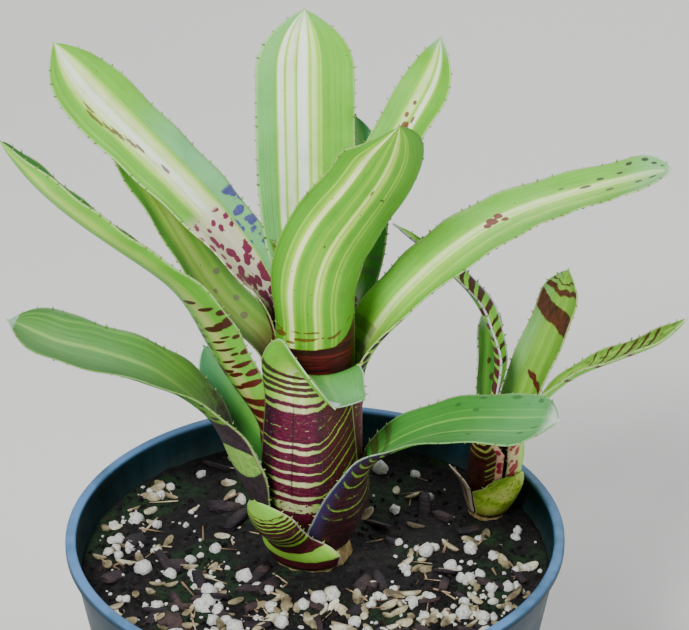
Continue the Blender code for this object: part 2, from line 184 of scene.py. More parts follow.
# %% Colours as light
def shade(red, green, blue):
    """A colour as a screen shows it, 0 to 255, turned into light."""
    return tuple(((c / 255 + 0.055) / 1.055) ** 2.4 if c > 10 else c / 255 / 12.92
                 for c in (red, green, blue))


print("the light of a middle grey:", round(shade(128, 128, 128)[0], 3))

# %% [markdown]
# A pale floor and soft lamps stand in for a studio. The main lamp is large and stands at the upper left in
# front, as the highlights in the photograph show, and a weaker one from the right keeps the shaded sides
# open.

# %% Floor and lamps
FLOOR_SIZE = 6.0

bpy.ops.object.select_all(action="DESELECT")
bpy.ops.mesh.primitive_plane_add(size=FLOOR_SIZE, location=(0, 0, 0))
floor = bpy.context.object
floor.name = "studio_floor"
floor_paint = Paint("studio_floor", roughness=0.8, specular=0.2)
floor.data.materials.append(floor_paint.finish(shade(226, 226, 222)))


def add_lamp(name, place, target, size, power):
    lamp_data = bpy.data.lights.new(name, "AREA")
    lamp_data.shape = "DISK"
    lamp_data.size = size
    lamp_data.energy = power
    lamp = bpy.data.objects.new(name, lamp_data)
    lamp.location = place
    lamp.rotation_euler = (Vector(target) - Vector(place)).to_track_quat("-Z", "Y").to_euler()
    bpy.context.scene.collection.objects.link(lamp)


MIDDLE = (0.0, 0.0, 0.18)
add_lamp("main_lamp", (-0.45, -0.95, 1.2), MIDDLE, 0.4, 30)
add_lamp("side_lamp", (1.1, -0.5, 0.7), MIDDLE, 0.8, 8)
add_lamp("rear_lamp", (0.2, 1.2, 1.0), MIDDLE, 0.8, 9)
world = bpy.data.worlds.new("studio_air")
bpy.context.scene.world = world
world.use_nodes = True
world.node_tree.nodes["Background"].inputs["Color"].default_value = (0.92, 0.96, 1.0, 1.0)
world.node_tree.nodes["Background"].inputs["Strength"].default_value = 0.35

# %% [markdown]
# Every new piece ends the same way: its place is in its mesh and its object sits at the origin, it is shaded
# smooth, and it rides on the one body.

# %% Begin and end a piece
def start_clean():
    if bpy.context.object and bpy.context.object.mode != "OBJECT":
        bpy.ops.object.mode_set(mode="OBJECT")
    bpy.ops.object.select_all(action="DESELECT")


def make_active(obj):
    start_clean()
    obj.select_set(True)
    bpy.context.view_layer.objects.active = obj


def apply_modifier(obj, name, kind, **settings):
    """Add a modifier with its settings and apply it at once."""
    make_active(obj)
    modifier = obj.modifiers.new(name, kind)
    for key, value in settings.items():
        setattr(modifier, key, value)
    bpy.ops.object.modifier_apply(modifier=name)


def finish_piece(obj, slot, materials, *nodes, smooth=True):
    """Give a piece its materials, let it ride on the body, and hide the solids it stands for."""
    make_active(obj)
    bpy.ops.object.transform_apply(location=True, rotation=True, scale=True)
    for material in materials:
        obj.data.materials.append(material)
    if smooth:
        bpy.ops.object.shade_smooth()
    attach(obj, "root")
    if nodes:
        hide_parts(*nodes)
    start_clean()
    print(obj.name, len(obj.data.polygons), "faces")

# %% [markdown]
# The pot and its mix are round. Each starts as a circle that is extruded and scaled along a profile of
# points. The spin operator would also turn a profile, but this way every ring lies at a height that is
# written down, and both ends close by themselves.

# %% Turned shapes
def turn_profile(name, profile, sides):
    """Draw a circle, then extrude and scale it along a profile of (radius, height) points in millimetres."""
    start_clean()
    radius, height = profile[0]
    bpy.ops.mesh.primitive_circle_add(vertices=sides, radius=radius * MM, location=(0, 0, height * MM))
    obj = bpy.context.object
    obj.name = name
    bpy.ops.object.transform_apply(location=True)
    bpy.ops.object.mode_set(mode="EDIT")
    bpy.ops.mesh.edge_face_add()
    for new_radius, new_height in profile[1:]:
        bpy.ops.mesh.extrude_region_move(
            TRANSFORM_OT_translate={"value": (0, 0, (new_height - height) * MM)})
        scale = new_radius / radius
        bpy.ops.transform.resize(value=(scale, scale, 1), center_override=(0, 0, new_height * MM))
        radius, height = new_radius, new_height
    bpy.ops.mesh.select_all(action="SELECT")
    bpy.ops.mesh.normals_make_consistent(inside=False)
    bpy.ops.object.mode_set(mode="OBJECT")
    return obj

# %% [markdown]
# What repeats, such as a hull or a spine, is modelled once. Its points are then copied to every place into
# one mesh. Hundreds of separate objects would look the same, but they are slow to make and to export.

# %% Copies and joins
def copies(name, model, places):
    """One mesh that holds a copy of a modelled shape at each of the given matrices."""
    points = [v.co.copy() for v in model.data.vertices]
    faces = [tuple(f.vertices) for f in model.data.polygons]
    all_points = []
    all_faces = []
    for matrix in places:
        first = len(all_points)
        all_points.extend(matrix @ point for point in points)
        all_faces.extend(tuple(first + index for index in face) for face in faces)
    mesh = bpy.data.meshes.new(name)
    mesh.from_pydata(all_points, [], all_faces)
    obj = bpy.data.objects.new(name, mesh)
    bpy.context.scene.collection.objects.link(obj)
    return obj


def join_pieces(name, objects):
    """Join objects into one mesh of the first one's materials and discard the rest."""
    make_active(objects[0])
    for obj in objects:
        obj.select_set(True)
    bpy.ops.object.join()
    joined = bpy.context.object
    joined.name = name
    return joined

# %% [markdown]
# The pot is a common 6 inch nursery pot, moulded in dark green plastic: a tapered wall, a flat lip that rolls
# a little over it, and a flat foot. The photograph cuts it off below the rim, so the foot is a plain one with
# six drain holes. A turned shape is drawn as a circle that is extruded and scaled along its profile.

# %% The pot
POT_HEIGHT = 118.0
RIM_RADIUS = 82.5
MOUTH_RADIUS = 78.9
FOOT_RADIUS = 60.0
WALL = 1.5
LIP_OVERHANG = 1.3
FLOOR_THICKNESS = 2.5
FOOT_ROUND = 3.0
POT_SIDES = 160


def mix(a, b, share):
    return a + (b - a) * share


def wall_radius(height, inner):
    """Radius of the pot's wall at a height, on its inner or outer face."""
    outer = mix(FOOT_RADIUS, RIM_RADIUS - LIP_OVERHANG, height / POT_HEIGHT)
    return outer - WALL if inner else outer


pot_profile = [(4, FLOOR_THICKNESS), (wall_radius(FLOOR_THICKNESS, True) - FOOT_ROUND, FLOOR_THICKNESS),
               (wall_radius(3.4, True) - 0.8, 3.4), (wall_radius(FLOOR_THICKNESS + FOOT_ROUND, True),
                                                     FLOOR_THICKNESS + FOOT_ROUND),
               (wall_radius(90, True), 90), (wall_radius(112.6, True), 112.6),
               (wall_radius(113.6, True) - 0.2, 113.6), (MOUTH_RADIUS, 116.6), (MOUTH_RADIUS + 0.1, 117.5),
               (MOUTH_RADIUS + 0.5, 117.9), (MOUTH_RADIUS + 1.0, POT_HEIGHT), (RIM_RADIUS - 1.0, POT_HEIGHT),
               (RIM_RADIUS - 0.35, 117.85), (RIM_RADIUS - 0.05, 117.45), (RIM_RADIUS, 116.9),
               (RIM_RADIUS, 115.5), (RIM_RADIUS - 0.15, 115.1), (RIM_RADIUS - 0.5, 114.9),
               (wall_radius(114.8, False) + 0.15, 114.8), (wall_radius(114.2, False), 114.2),
               (wall_radius(60, False), 60), (wall_radius(FOOT_ROUND, False), FOOT_ROUND),
               (wall_radius(1.0, False) - 0.6, 1.0), (wall_radius(0, False) - FOOT_ROUND, 0), (4, 0)]

# %% [markdown]
# The profile becomes the wall in one go. The drain holes are cylinders that a Boolean takes away, as a
# punch in the mould leaves them, and a small bevel rounds the corners, because no moulded edge is sharp.

# %% Turn and drill the pot
DRAIN_HOLES = 6
DRAIN_RADIUS = 4.0
DRAIN_RING = 46.0  # radius of the circle that the holes stand on

pot = turn_profile("nursery_pot", pot_profile, POT_SIDES)
for i in range(DRAIN_HOLES):
    start_clean()
    bearing = math.tau * i / DRAIN_HOLES
    place = (DRAIN_RING * MM * math.cos(bearing), DRAIN_RING * MM * math.sin(bearing), 0)
    bpy.ops.mesh.primitive_cylinder_add(vertices=32, radius=DRAIN_RADIUS * MM, depth=12 * MM, location=place)
    drill = bpy.context.object
    apply_modifier(pot, "drain_hole", "BOOLEAN", object=drill, operation="DIFFERENCE", solver="EXACT")
    bpy.data.objects.remove(drill, do_unlink=True)
apply_modifier(pot, "soft_corners", "BEVEL", width=0.25 * MM, segments=2, limit_method="ANGLE",
               angle_limit=math.radians(40))
print("pot", [round(n * 1000, 1) for n in pot.dimensions])

# %% [markdown]
# The plastic is smooth and slightly worn: dark blue-green on the wall, with faint upright streaks from the
# mould and a film of dust from the mix on the inside. A paler band is painted along the top of the lip as the
# highlight that it catches. Paler patches on the lip stand both for rubbing by hands and the next pot in the
# stack and for a painted highlight.

# %% The pot's plastic
pot_paint = Paint("green_plastic", specular=0.12)
here = pot_paint.add("ShaderNodeTexCoord", output=3)
height = pot_paint.add("ShaderNodeSeparateXYZ", {"Vector": here}, output=2) * 1000
streaks = pot_paint.noise(pot_paint.place((260, 260, 14)), 1.0, detail=3)
clouds = pot_paint.noise(pot_paint.place(), 38, detail=4)
grain = pot_paint.noise(pot_paint.place(), 1500, detail=2)
# where the lip is rubbed: real wear, and also a painted highlight on the rim
rubbed_and_highlit = pot_paint.step(height, 117.2, 117.9) * pot_paint.step(clouds + streaks * 0.3, 0.35, 0.75)
dust = pot_paint.step(height + clouds * 10, 118, 106) * pot_paint.step(height, 100, 104)
tone = pot_paint.step(streaks * 0.6 + clouds * 0.4, 0.3, 0.7)
aside = pot_paint.add("ShaderNodeSeparateXYZ", {"Vector": here}, output=0) * 1000
ahead = pot_paint.add("ShaderNodeSeparateXYZ", {"Vector": here}, output=1) * 1000
from_axis = pot_paint.math("SQRT", aside * aside + ahead * ahead)
middle_of_wall = height * ((RIM_RADIUS - LIP_OVERHANG - FOOT_RADIUS) / POT_HEIGHT) + FOOT_RADIUS - WALL / 2
outside = pot_paint.step(from_axis - middle_of_wall, -0.3, 0.3)
plastic = pot_paint.blend(tone, shade(14, 34, 38), shade(24, 50, 58))
plastic = pot_paint.blend(outside, plastic, pot_paint.blend(tone, shade(16, 42, 57), shade(20, 48, 64)))
# a paler band along the top of the lip: a painted highlight where the rim faces the lamps
plastic = pot_paint.blend(pot_paint.step(height, 116.4, 117.9) * 0.7, plastic, shade(62, 104, 138))
plastic = pot_paint.blend(rubbed_and_highlit * 0.6, plastic, shade(104, 146, 200))
plastic = pot_paint.blend(dust * 0.25, plastic, shade(92, 96, 88))
pot_paint.bump(streaks * 0.5 + grain * 0.25 + clouds * 0.2, 0.0004, 0.5)
finish_piece(pot, "pot_plastic", [pot_paint.finish(plastic, 0.34 + clouds * 0.22 + rubbed_and_highlit * 0.12)], "pot")

# %% [markdown]
# The mix is mostly dark bark and peat. Its surface is the solid's own, rings of points from the middle to the
# wall, lifted and sunk by three sizes of noise. It stays level at the stems.

# %% The surface of the mix
SOIL_TOP = 106.0
RELIEF_SIZE = 16.0
SOIL_SIDES = 150
MOTHER_SPOT = Vector((-1.0, 6.0, 0))
OFFSET_SPOT = Vector((58.5, 31.0, 0))
MIX_REACH = wall_radius(SOIL_TOP, True) - 0.3


def ease(x):
    x = min(max(x, 0.0), 1.0)
    return x * x * (3 - 2 * x)


def radial(heading):
    return Vector((math.cos(math.radians(heading)), math.sin(math.radians(heading)), 0.0))


def broad_height(x, y):
    """Height of the solid's own surface, the broad relief."""
    spot = Vector((x, y, 0))
    clear = min((spot - stem).length for stem in (MOTHER_SPOT, OFFSET_SPOT))
    level = ease(clear / 30) * ease((wall_radius(SOIL_TOP, True) - spot.length) / 8)
    return SOIL_TOP + 1.3 * level * noise.noise(spot / RELIEF_SIZE)


def soil_height(x, y):
    spot = Vector((x, y, 0))
    fine = 0.8 * noise.noise(spot / 4.5 + Vector((9, 0, 0))) + 0.5 * noise.noise(spot / 1.9)
    return broad_height(x, y) + fine


first_ring = 0.4  # mm from the middle
last_ring = 64
mix_rings = [first_ring + (MIX_REACH - first_ring) * i / last_ring for i in range(last_ring + 1)]
mix_profile = [(radius, SOIL_TOP) for radius in mix_rings]
mix_profile += [(wall_radius(6.1, True) - 0.3, 6.1), (wall_radius(2.8, True) - 3.3, 2.8), (4, 2.8)]
soil = turn_profile("bark_mix", mix_profile, SOIL_SIDES)
for vertex in soil.data.vertices:
    x, y, z = vertex.co / MM
    if z > SOIL_TOP - 1:
        vertex.co.z = soil_height(x, y) * MM
print("mix", round(MIX_REACH * 2, 1), "mm across, its highest lump at",
      round(max(vertex.co.z for vertex in soil.data.vertices) / MM, 1))

# %% [markdown]
# Wet peat is almost black. It is paler where a lump has dried, and a film of green grows on it in the
# light. A fine noise gives the lumps their tone, and a broad one says where the green may lie.

# %% Peat and moss
soil_paint = Paint("bark_and_peat", roughness=0.92, specular=0.25)
lumps_of_peat = soil_paint.noise(soil_paint.place(), 420, detail=5, rough=0.65)
patches = soil_paint.noise(soil_paint.place(), 38, detail=3)
moss = soil_paint.step(patches, 0.48, 0.58) * soil_paint.step(lumps_of_peat, 0.36, 0.54)
peat = soil_paint.ramp(lumps_of_peat, [(0.3, shade(5, 6, 10)), (0.5, shade(17, 15, 17)),
                                       (0.62, shade(34, 28, 27)), (0.75, shade(66, 56, 50))])
peat = soil_paint.blend(moss * 0.9, peat, shade(20, 48, 22))
soil_paint.bump(lumps_of_peat, 0.002)
finish_piece(soil, "mix", [soil_paint.finish(peat, 0.75 + lumps_of_peat * 0.25)], "potting_mix")

# %% [markdown]
# Perlite, rice hulls, bark chips, splinters and crumbs lie in the mix. Each is modelled once or a few times
# with few faces, and copied to places that a seeded random draw gives, crowded to the front and the left as
# in the photograph. The first lumps and hulls repeat the solid's own.

# %% Places in the mix
def scatter(draw, count, bare=(27.0, 17.0), at_wall=6.0):
    """Places on the mix, crowded towards the front and the left, clear of the rosettes and the wall."""
    reach = wall_radius(SOIL_TOP, True) - at_wall
    places = []
    while len(places) < count:
        spot = radial(draw.uniform(0, 360)) * reach * math.sqrt(draw.random())
        crowd = mix(1.0, 0.25, ease((spot.y + 30) / 60)) if spot.x > -50 else 0.9
        if draw.random() > crowd:
            continue
        if (spot - MOTHER_SPOT).length < bare[0]:
            continue
        if (spot - OFFSET_SPOT).length < bare[1]:
            continue
        places.append(spot)
    return places


def lying(spot, sink, size, turn):
    """A matrix that puts a copy at a spot, sunk by a length, with its size along each axis and its turn."""
    place = (spot + Vector((0, 0, soil_height(spot.x, spot.y) - sink))) * MM
    scale = Matrix.Diagonal((size[0] * MM, size[1] * MM, size[2] * MM, 1.0))
    return Matrix.Translation(place) @ Euler(turn).to_matrix().to_4x4() @ scale


def roughen(obj, amount, seed):
    """Push each point in or out by noise, as the edit-mode Randomize does."""
    for vertex in obj.data.vertices:
        vertex.co *= 1 + amount * noise.noise(vertex.co * 1.9 + Vector((seed * 7.3, 0, 0)))


def copies_of_many(name, models, matrices):
    """Share the places out among several models, then join all their copies in one piece."""
    groups = [copies(name, model, matrices[i::len(models)]) for i, model in enumerate(models)]
    for model in models:
        bpy.data.objects.remove(model, do_unlink=True)
    return join_pieces(name, groups)


def tumble(draw):
    return (draw.uniform(0, 6), draw.uniform(0, 6), draw.uniform(0, 6))


print("mix beside the mother:", round(soil_height(*MOTHER_SPOT.xy), 1), "mm high")


# %% [markdown]
# Perlite is puffed glass: white, angular and pitted. A ball of few faces is pushed in and out by noise into
# five different lumps, and the copies are turned every way. The large ones lie where the solid has its own,
# and grit of the same glass lies between them.

# %% Perlite
LUMPS = 46
LUMP_CORNERS = 12  # draws that the solid spends on each lump, kept so that the places agree
draw = random.Random(11)
perlite_places = []
for spot in scatter(draw, LUMPS):
    size = draw.uniform(1.5, 3.2)
    for _ in range(LUMP_CORNERS):
        draw.uniform(0.8, 1.15)  # the solid's own lump moves a corner here
    turn = (draw.uniform(0, 3), draw.uniform(0, 3), draw.uniform(0, 3))
    perlite_places.append(lying(spot, size * -0.25, (size, size * 0.9, size * 0.95), turn))
hull_spots = scatter(draw, 22)
more = random.Random(5)
for spot in scatter(more, 130):
    size = more.uniform(0.9, 2.5)
    perlite_places.append(lying(spot, size * -0.1, (size, size * more.uniform(0.7, 1), size * 0.85),
                                tumble(more)))
for spot in scatter(more, 260, bare=(21, 12), at_wall=2.0):
    size = more.uniform(0.3, 0.9)
    perlite_places.append(lying(spot, 0.1, (size, size, size), tumble(more)))
lump_models = []
for seed in range(5):
    start_clean()
    bpy.ops.mesh.primitive_ico_sphere_add(subdivisions=2, radius=1)
    roughen(bpy.context.object, 0.38, seed)
    lump_models.append(bpy.context.object)
perlite = copies_of_many("perlite", lump_models, perlite_places)
perlite_paint = Paint("puffed_glass", roughness=0.8, specular=0.3)
pits = perlite_paint.noise(perlite_paint.place(), 1300, detail=4, rough=0.7)
stain = perlite_paint.noise(perlite_paint.place(), 160, detail=2)
white = perlite_paint.ramp(pits, [(0.3, shade(150, 146, 136)), (0.5, shade(208, 208, 204)),
                                  (0.7, shade(238, 240, 240))])
white = perlite_paint.blend(perlite_paint.step(stain, 0.5, 0.75) * 0.5, white, shade(196, 184, 158))
perlite_paint.bump(pits, 0.0007)
finish_piece(perlite, "mix", [perlite_paint.finish(white)])

# %% [markdown]
# A rice hull is a small ribbed boat, tan to cream. A ball is stretched, flattened on its upper side and
# bent up at its ends, and every second line of points is drawn in to leave the ribs. Real folds of that
# size would cost more faces than the eye can see.

# %% Rice hulls
def ribbed_hull():
    """A ball stretched to a boat shape, with every second line of points drawn in to leave ribs."""
    start_clean()
    bpy.ops.mesh.primitive_uv_sphere_add(segments=12, ring_count=7, radius=1, rotation=(0, math.pi / 2, 0))
    hull = bpy.context.object
    bpy.ops.object.transform_apply(rotation=True)
    for vertex in hull.data.vertices:
        x, y, z = vertex.co
        rib = 0.86 if round(math.degrees(math.atan2(z, y)) / 30) % 2 else 1.0
        top = 0.35 if z > 0 else 1.0
        vertex.co = (x, y * rib * 0.45, z * rib * 0.42 * top + 0.12 * x * x)
    return hull


hull_places = []
for spot in hull_spots:
    length = draw.uniform(3.5, 6.5) / 1.6
    slant = draw.uniform(55, 85)
    turn = (0, math.radians(85 - slant), draw.uniform(0, math.tau))
    hull_places.append(lying(spot, 0, (length, length * 1.1, length), turn))
for spot in scatter(more, 150, at_wall=4.0):
    length = more.uniform(2.6, 4.2)
    hull_places.append(lying(spot, -0.4, (length, length, length),
                             (more.uniform(-0.9, 0.9), more.uniform(-0.5, 0.5), more.uniform(0, math.tau))))
hulls = copies_of_many("rice_hulls", [ribbed_hull()], hull_places)
hull_paint = Paint("rice_hull", roughness=0.6, specular=0.4)
age = hull_paint.noise(hull_paint.place(), 130, detail=1)
fibre = hull_paint.noise(hull_paint.place((900, 900, 900)), 1.0, detail=3)
straw = hull_paint.ramp(age + (fibre - 0.5) * 0.3, [(0.3, shade(84, 74, 54)), (0.5, shade(144, 132, 100)),
                                                    (0.7, shade(206, 202, 178))])
hull_paint.bump(fibre, 0.0004)
finish_piece(hulls, "mix", [hull_paint.finish(straw)])

# %% [markdown]
# Bark chips are thin dark plates. A subdivided cube is flattened and its ends are torn by noise, which
# keeps a plate to 54 faces and still gives it a broken edge.

# %% Bark chips
def bark_plate(seed):
    start_clean()
    bpy.ops.mesh.primitive_cube_add(size=2)
    plate = bpy.context.object
    bpy.ops.object.mode_set(mode="EDIT")
    bpy.ops.mesh.subdivide(number_cuts=2)
    bpy.ops.object.mode_set(mode="OBJECT")
    for vertex in plate.data.vertices:
        x, y, z = vertex.co
        torn = noise.noise(Vector((y * 2.5, z * 2.5, seed * 3.1)))
        vertex.co.x = x * (1 + 0.35 * torn)
        vertex.co.y = y * (1 - 0.3 * abs(x)) + 0.25 * noise.noise(Vector((x * 2, z, seed)))
        vertex.co.z = z * (1 - 0.35 * abs(y)) + 0.3 * noise.noise(Vector((x * 1.5, y * 1.5, seed + 5)))
    return plate


bark_places = []
for spot in scatter(more, 60, bare=(22, 13), at_wall=8.0):
    length = more.uniform(3.0, 6.5)
    size = (length, length * more.uniform(0.35, 0.5), more.uniform(0.7, 1.2))
    turn = (more.uniform(-0.5, 0.5), more.uniform(-0.35, 0.35), more.uniform(0, math.tau))
    bark_places.append(lying(spot, -0.4, size, turn))
bark = copies_of_many("bark_chips", [bark_plate(seed) for seed in range(3)], bark_places)
bark_paint = Paint("fir_bark", roughness=0.75, specular=0.35)
layers = bark_paint.noise(bark_paint.place((500, 900, 900)), 1.0, detail=4, rough=0.6)
which = bark_paint.noise(bark_paint.place(), 70, detail=1)
brown = bark_paint.ramp(which * 0.6 + layers * 0.4, [(0.35, shade(18, 14, 22)), (0.5, shade(38, 28, 36)),
                                                     (0.65, shade(72, 54, 50))])
bark_paint.bump(layers, 0.0009)
finish_piece(bark, "mix", [bark_paint.finish(brown)])

# %% [markdown]
# Splinters are pale slivers of the same wood: a rod of five sides, narrower at one end.

# %% Splinters
start_clean()
bpy.ops.mesh.primitive_cylinder_add(vertices=5, radius=1, depth=2, rotation=(0, math.pi / 2, 0))
stick = bpy.context.object
bpy.ops.object.transform_apply(rotation=True)
for vertex in stick.data.vertices:
    vertex.co.y *= 1 - 0.5 * max(vertex.co.x, 0)
    vertex.co.z *= 1 - 0.5 * max(vertex.co.x, 0)
stick_places = []
for spot in scatter(more, 110, bare=(20, 11), at_wall=9.0):
    length = more.uniform(1.8, 5.5)
    size = (length, more.uniform(0.2, 0.55), more.uniform(0.15, 0.35))
    stick_places.append(lying(spot, -0.5, size, (more.uniform(-0.6, 0.6), more.uniform(-0.3, 0.3),
                                                 more.uniform(0, math.tau))))
splinters = copies_of_many("wood_splinters", [stick], stick_places)
wood_paint = Paint("pale_wood", roughness=0.7, specular=0.3)
wood_tone = wood_paint.noise(wood_paint.place(), 110, detail=2)
wood = wood_paint.ramp(wood_tone, [(0.35, shade(84, 66, 52)), (0.5, shade(150, 126, 96)),
                                   (0.65, shade(210, 192, 160))])
wood_paint.bump(wood_paint.noise(wood_paint.place(), 900, detail=3), 0.0003)
finish_piece(splinters, "mix", [wood_paint.finish(wood)])

# %% [markdown]
# Crumbs of peat fill the gaps between the larger pieces. There are many, so each has only 20 faces, and
# they are shaded flat, which makes a crumb look broken rather than round.

# %% Crumbs
start_clean()
bpy.ops.mesh.primitive_ico_sphere_add(subdivisions=1, radius=1)
crumb = bpy.context.object
roughen(crumb, 0.6, 3)
crumb_places = []
for spot in scatter(more, 1500, bare=(16, 9), at_wall=1.5):
    size = more.uniform(0.4, 1.3)
    crumb_places.append(lying(spot, 0.1, (size, size * more.uniform(0.6, 1), size * 0.8), tumble(more)))
crumbs = copies_of_many("peat_crumbs", [crumb], crumb_places)
crumb_paint = Paint("peat_crumb", roughness=0.95, specular=0.2)
crumb_tone = crumb_paint.noise(crumb_paint.place(), 240, detail=3)
dark = crumb_paint.ramp(crumb_tone, [(0.35, shade(6, 6, 9)), (0.5, shade(22, 18, 19)),
                                     (0.62, shade(44, 35, 30)), (0.75, shade(28, 46, 18))])
crumb_paint.bump(crumb_paint.noise(crumb_paint.place(), 1100, detail=3), 0.0006)
finish_piece(crumbs, "mix", [crumb_paint.finish(dark)], smooth=False)

# %% [markdown]
# Every leaf follows one rule, the same as the solid's: a base that wraps its rosette in a nested tube up to
# the height where it parts, then a blade with its own lean, heading, cup and roll. The rosette comes first.
# It knows where its axis stands and how wide the tube is at each height.

# %% The two rosettes
CLEARANCE = 0.3
BLADE = 0.8
COLUMNS = 4
TOOTH_SPACING = 6.0
SHEATH_ROWS = 5
ROW_STEP = 1.6  # mm between points along a leaf
STRIPS = 24  # faces across a leaf


class Rosette:
    """Where a rosette stands and the nested tube that its leaf bases make. Level 0 is the outermost leaf
    of the tube, inner leaves count up, and the old leaves outside the tube count down."""

    def __init__(self, centre, tilt, stem, stem_top, tube, flare, step, foot, foot_step, old_foot_step):
        self.centre = Vector((centre[0], centre[1], SOIL_TOP))
        self.tilt = tilt
        self.stem = stem
        self.stem_top = stem_top
        self.tube = tube
        self.flare = flare
        self.step = step
        self.foot = foot
        self.foot_step = foot_step
        self.old_foot_step = old_foot_step

    def axis(self, height):
        """The point of the rosette's axis at a height above the soil. tilt is its lean towards +X."""
        return self.centre + Vector((self.tilt * height, 0, height))

    def foot_height(self, level):
        return self.foot + level * (self.foot_step if level >= 0 else self.old_foot_step)

    def stem_radius(self, height):
        """Radius of the stem at a height. It tapers from stem at the soil to a quarter of that at its top."""
        return self.stem * mix(1.0, 0.25, height / self.stem_top)

    def radius(self, level, height):
        """Radius of the middle of a leaf base of this level, at a height above the soil."""
        foot = self.foot_height(level)
        rise = min(max((height - foot) / self.flare, 0.0), 1.0)
        inner = self.stem_radius(foot) + CLEARANCE + BLADE / 2
        return inner + (self.tube - self.step * level - inner) * math.sin(rise * math.pi / 2)


MOTHER = Rosette(centre=(-1.0, 6.0), tilt=0.0, stem=13.5, stem_top=37.0, tube=18.0, flare=26.0, step=2.0,
                 foot=12.0, foot_step=4.5, old_foot_step=5.4)
OFFSET = Rosette(centre=(58.5, 31.0), tilt=0.12, stem=6.5, stem_top=12.0, tube=8.8, flare=14.0, step=1.6,
                 foot=4.0, foot_step=3.0, old_foot_step=2.4)

print("mother's tube:", round(MOTHER.radius(0, 60) * 2), "mm across")

# %% [markdown]
# Each leaf is one row of a table. A photograph shows a leaf's outline from one side, and these few numbers
# are what a grower would say about its habit: how it leans along its length, where it heads, how hollow it
# is, and how it rolls. The numbers are the solid's own, so the fine blade lies over it.

# %% The table of leaves
def leaf(name, rosette, level, facing, wrap, parting, length, half_width, lean, heading, cup,
         roll=(0, 0), neck=0.85, tip=0.8):
    """One leaf: its base wraps the rosette up to the parting height, then its blade goes its own way.

    facing is the side of the rosette that the base is on. wrap is half the angle that the base covers, at
    its foot and at the parting. lean (from the vertical), heading, cup (the bend across the blade) and
    roll are read along the blade as smooth curves. neck is the width at the blade's base and tip is where
    the tip begins to narrow, both as shares of the whole.
    """
    return dict(name=name, rosette=rosette, level=level, facing=facing, wrap=wrap, parting=parting,
                length=length, half_width=half_width, lean=lean, heading=heading, cup=cup, roll=roll,
                neck=neck, tip=tip)


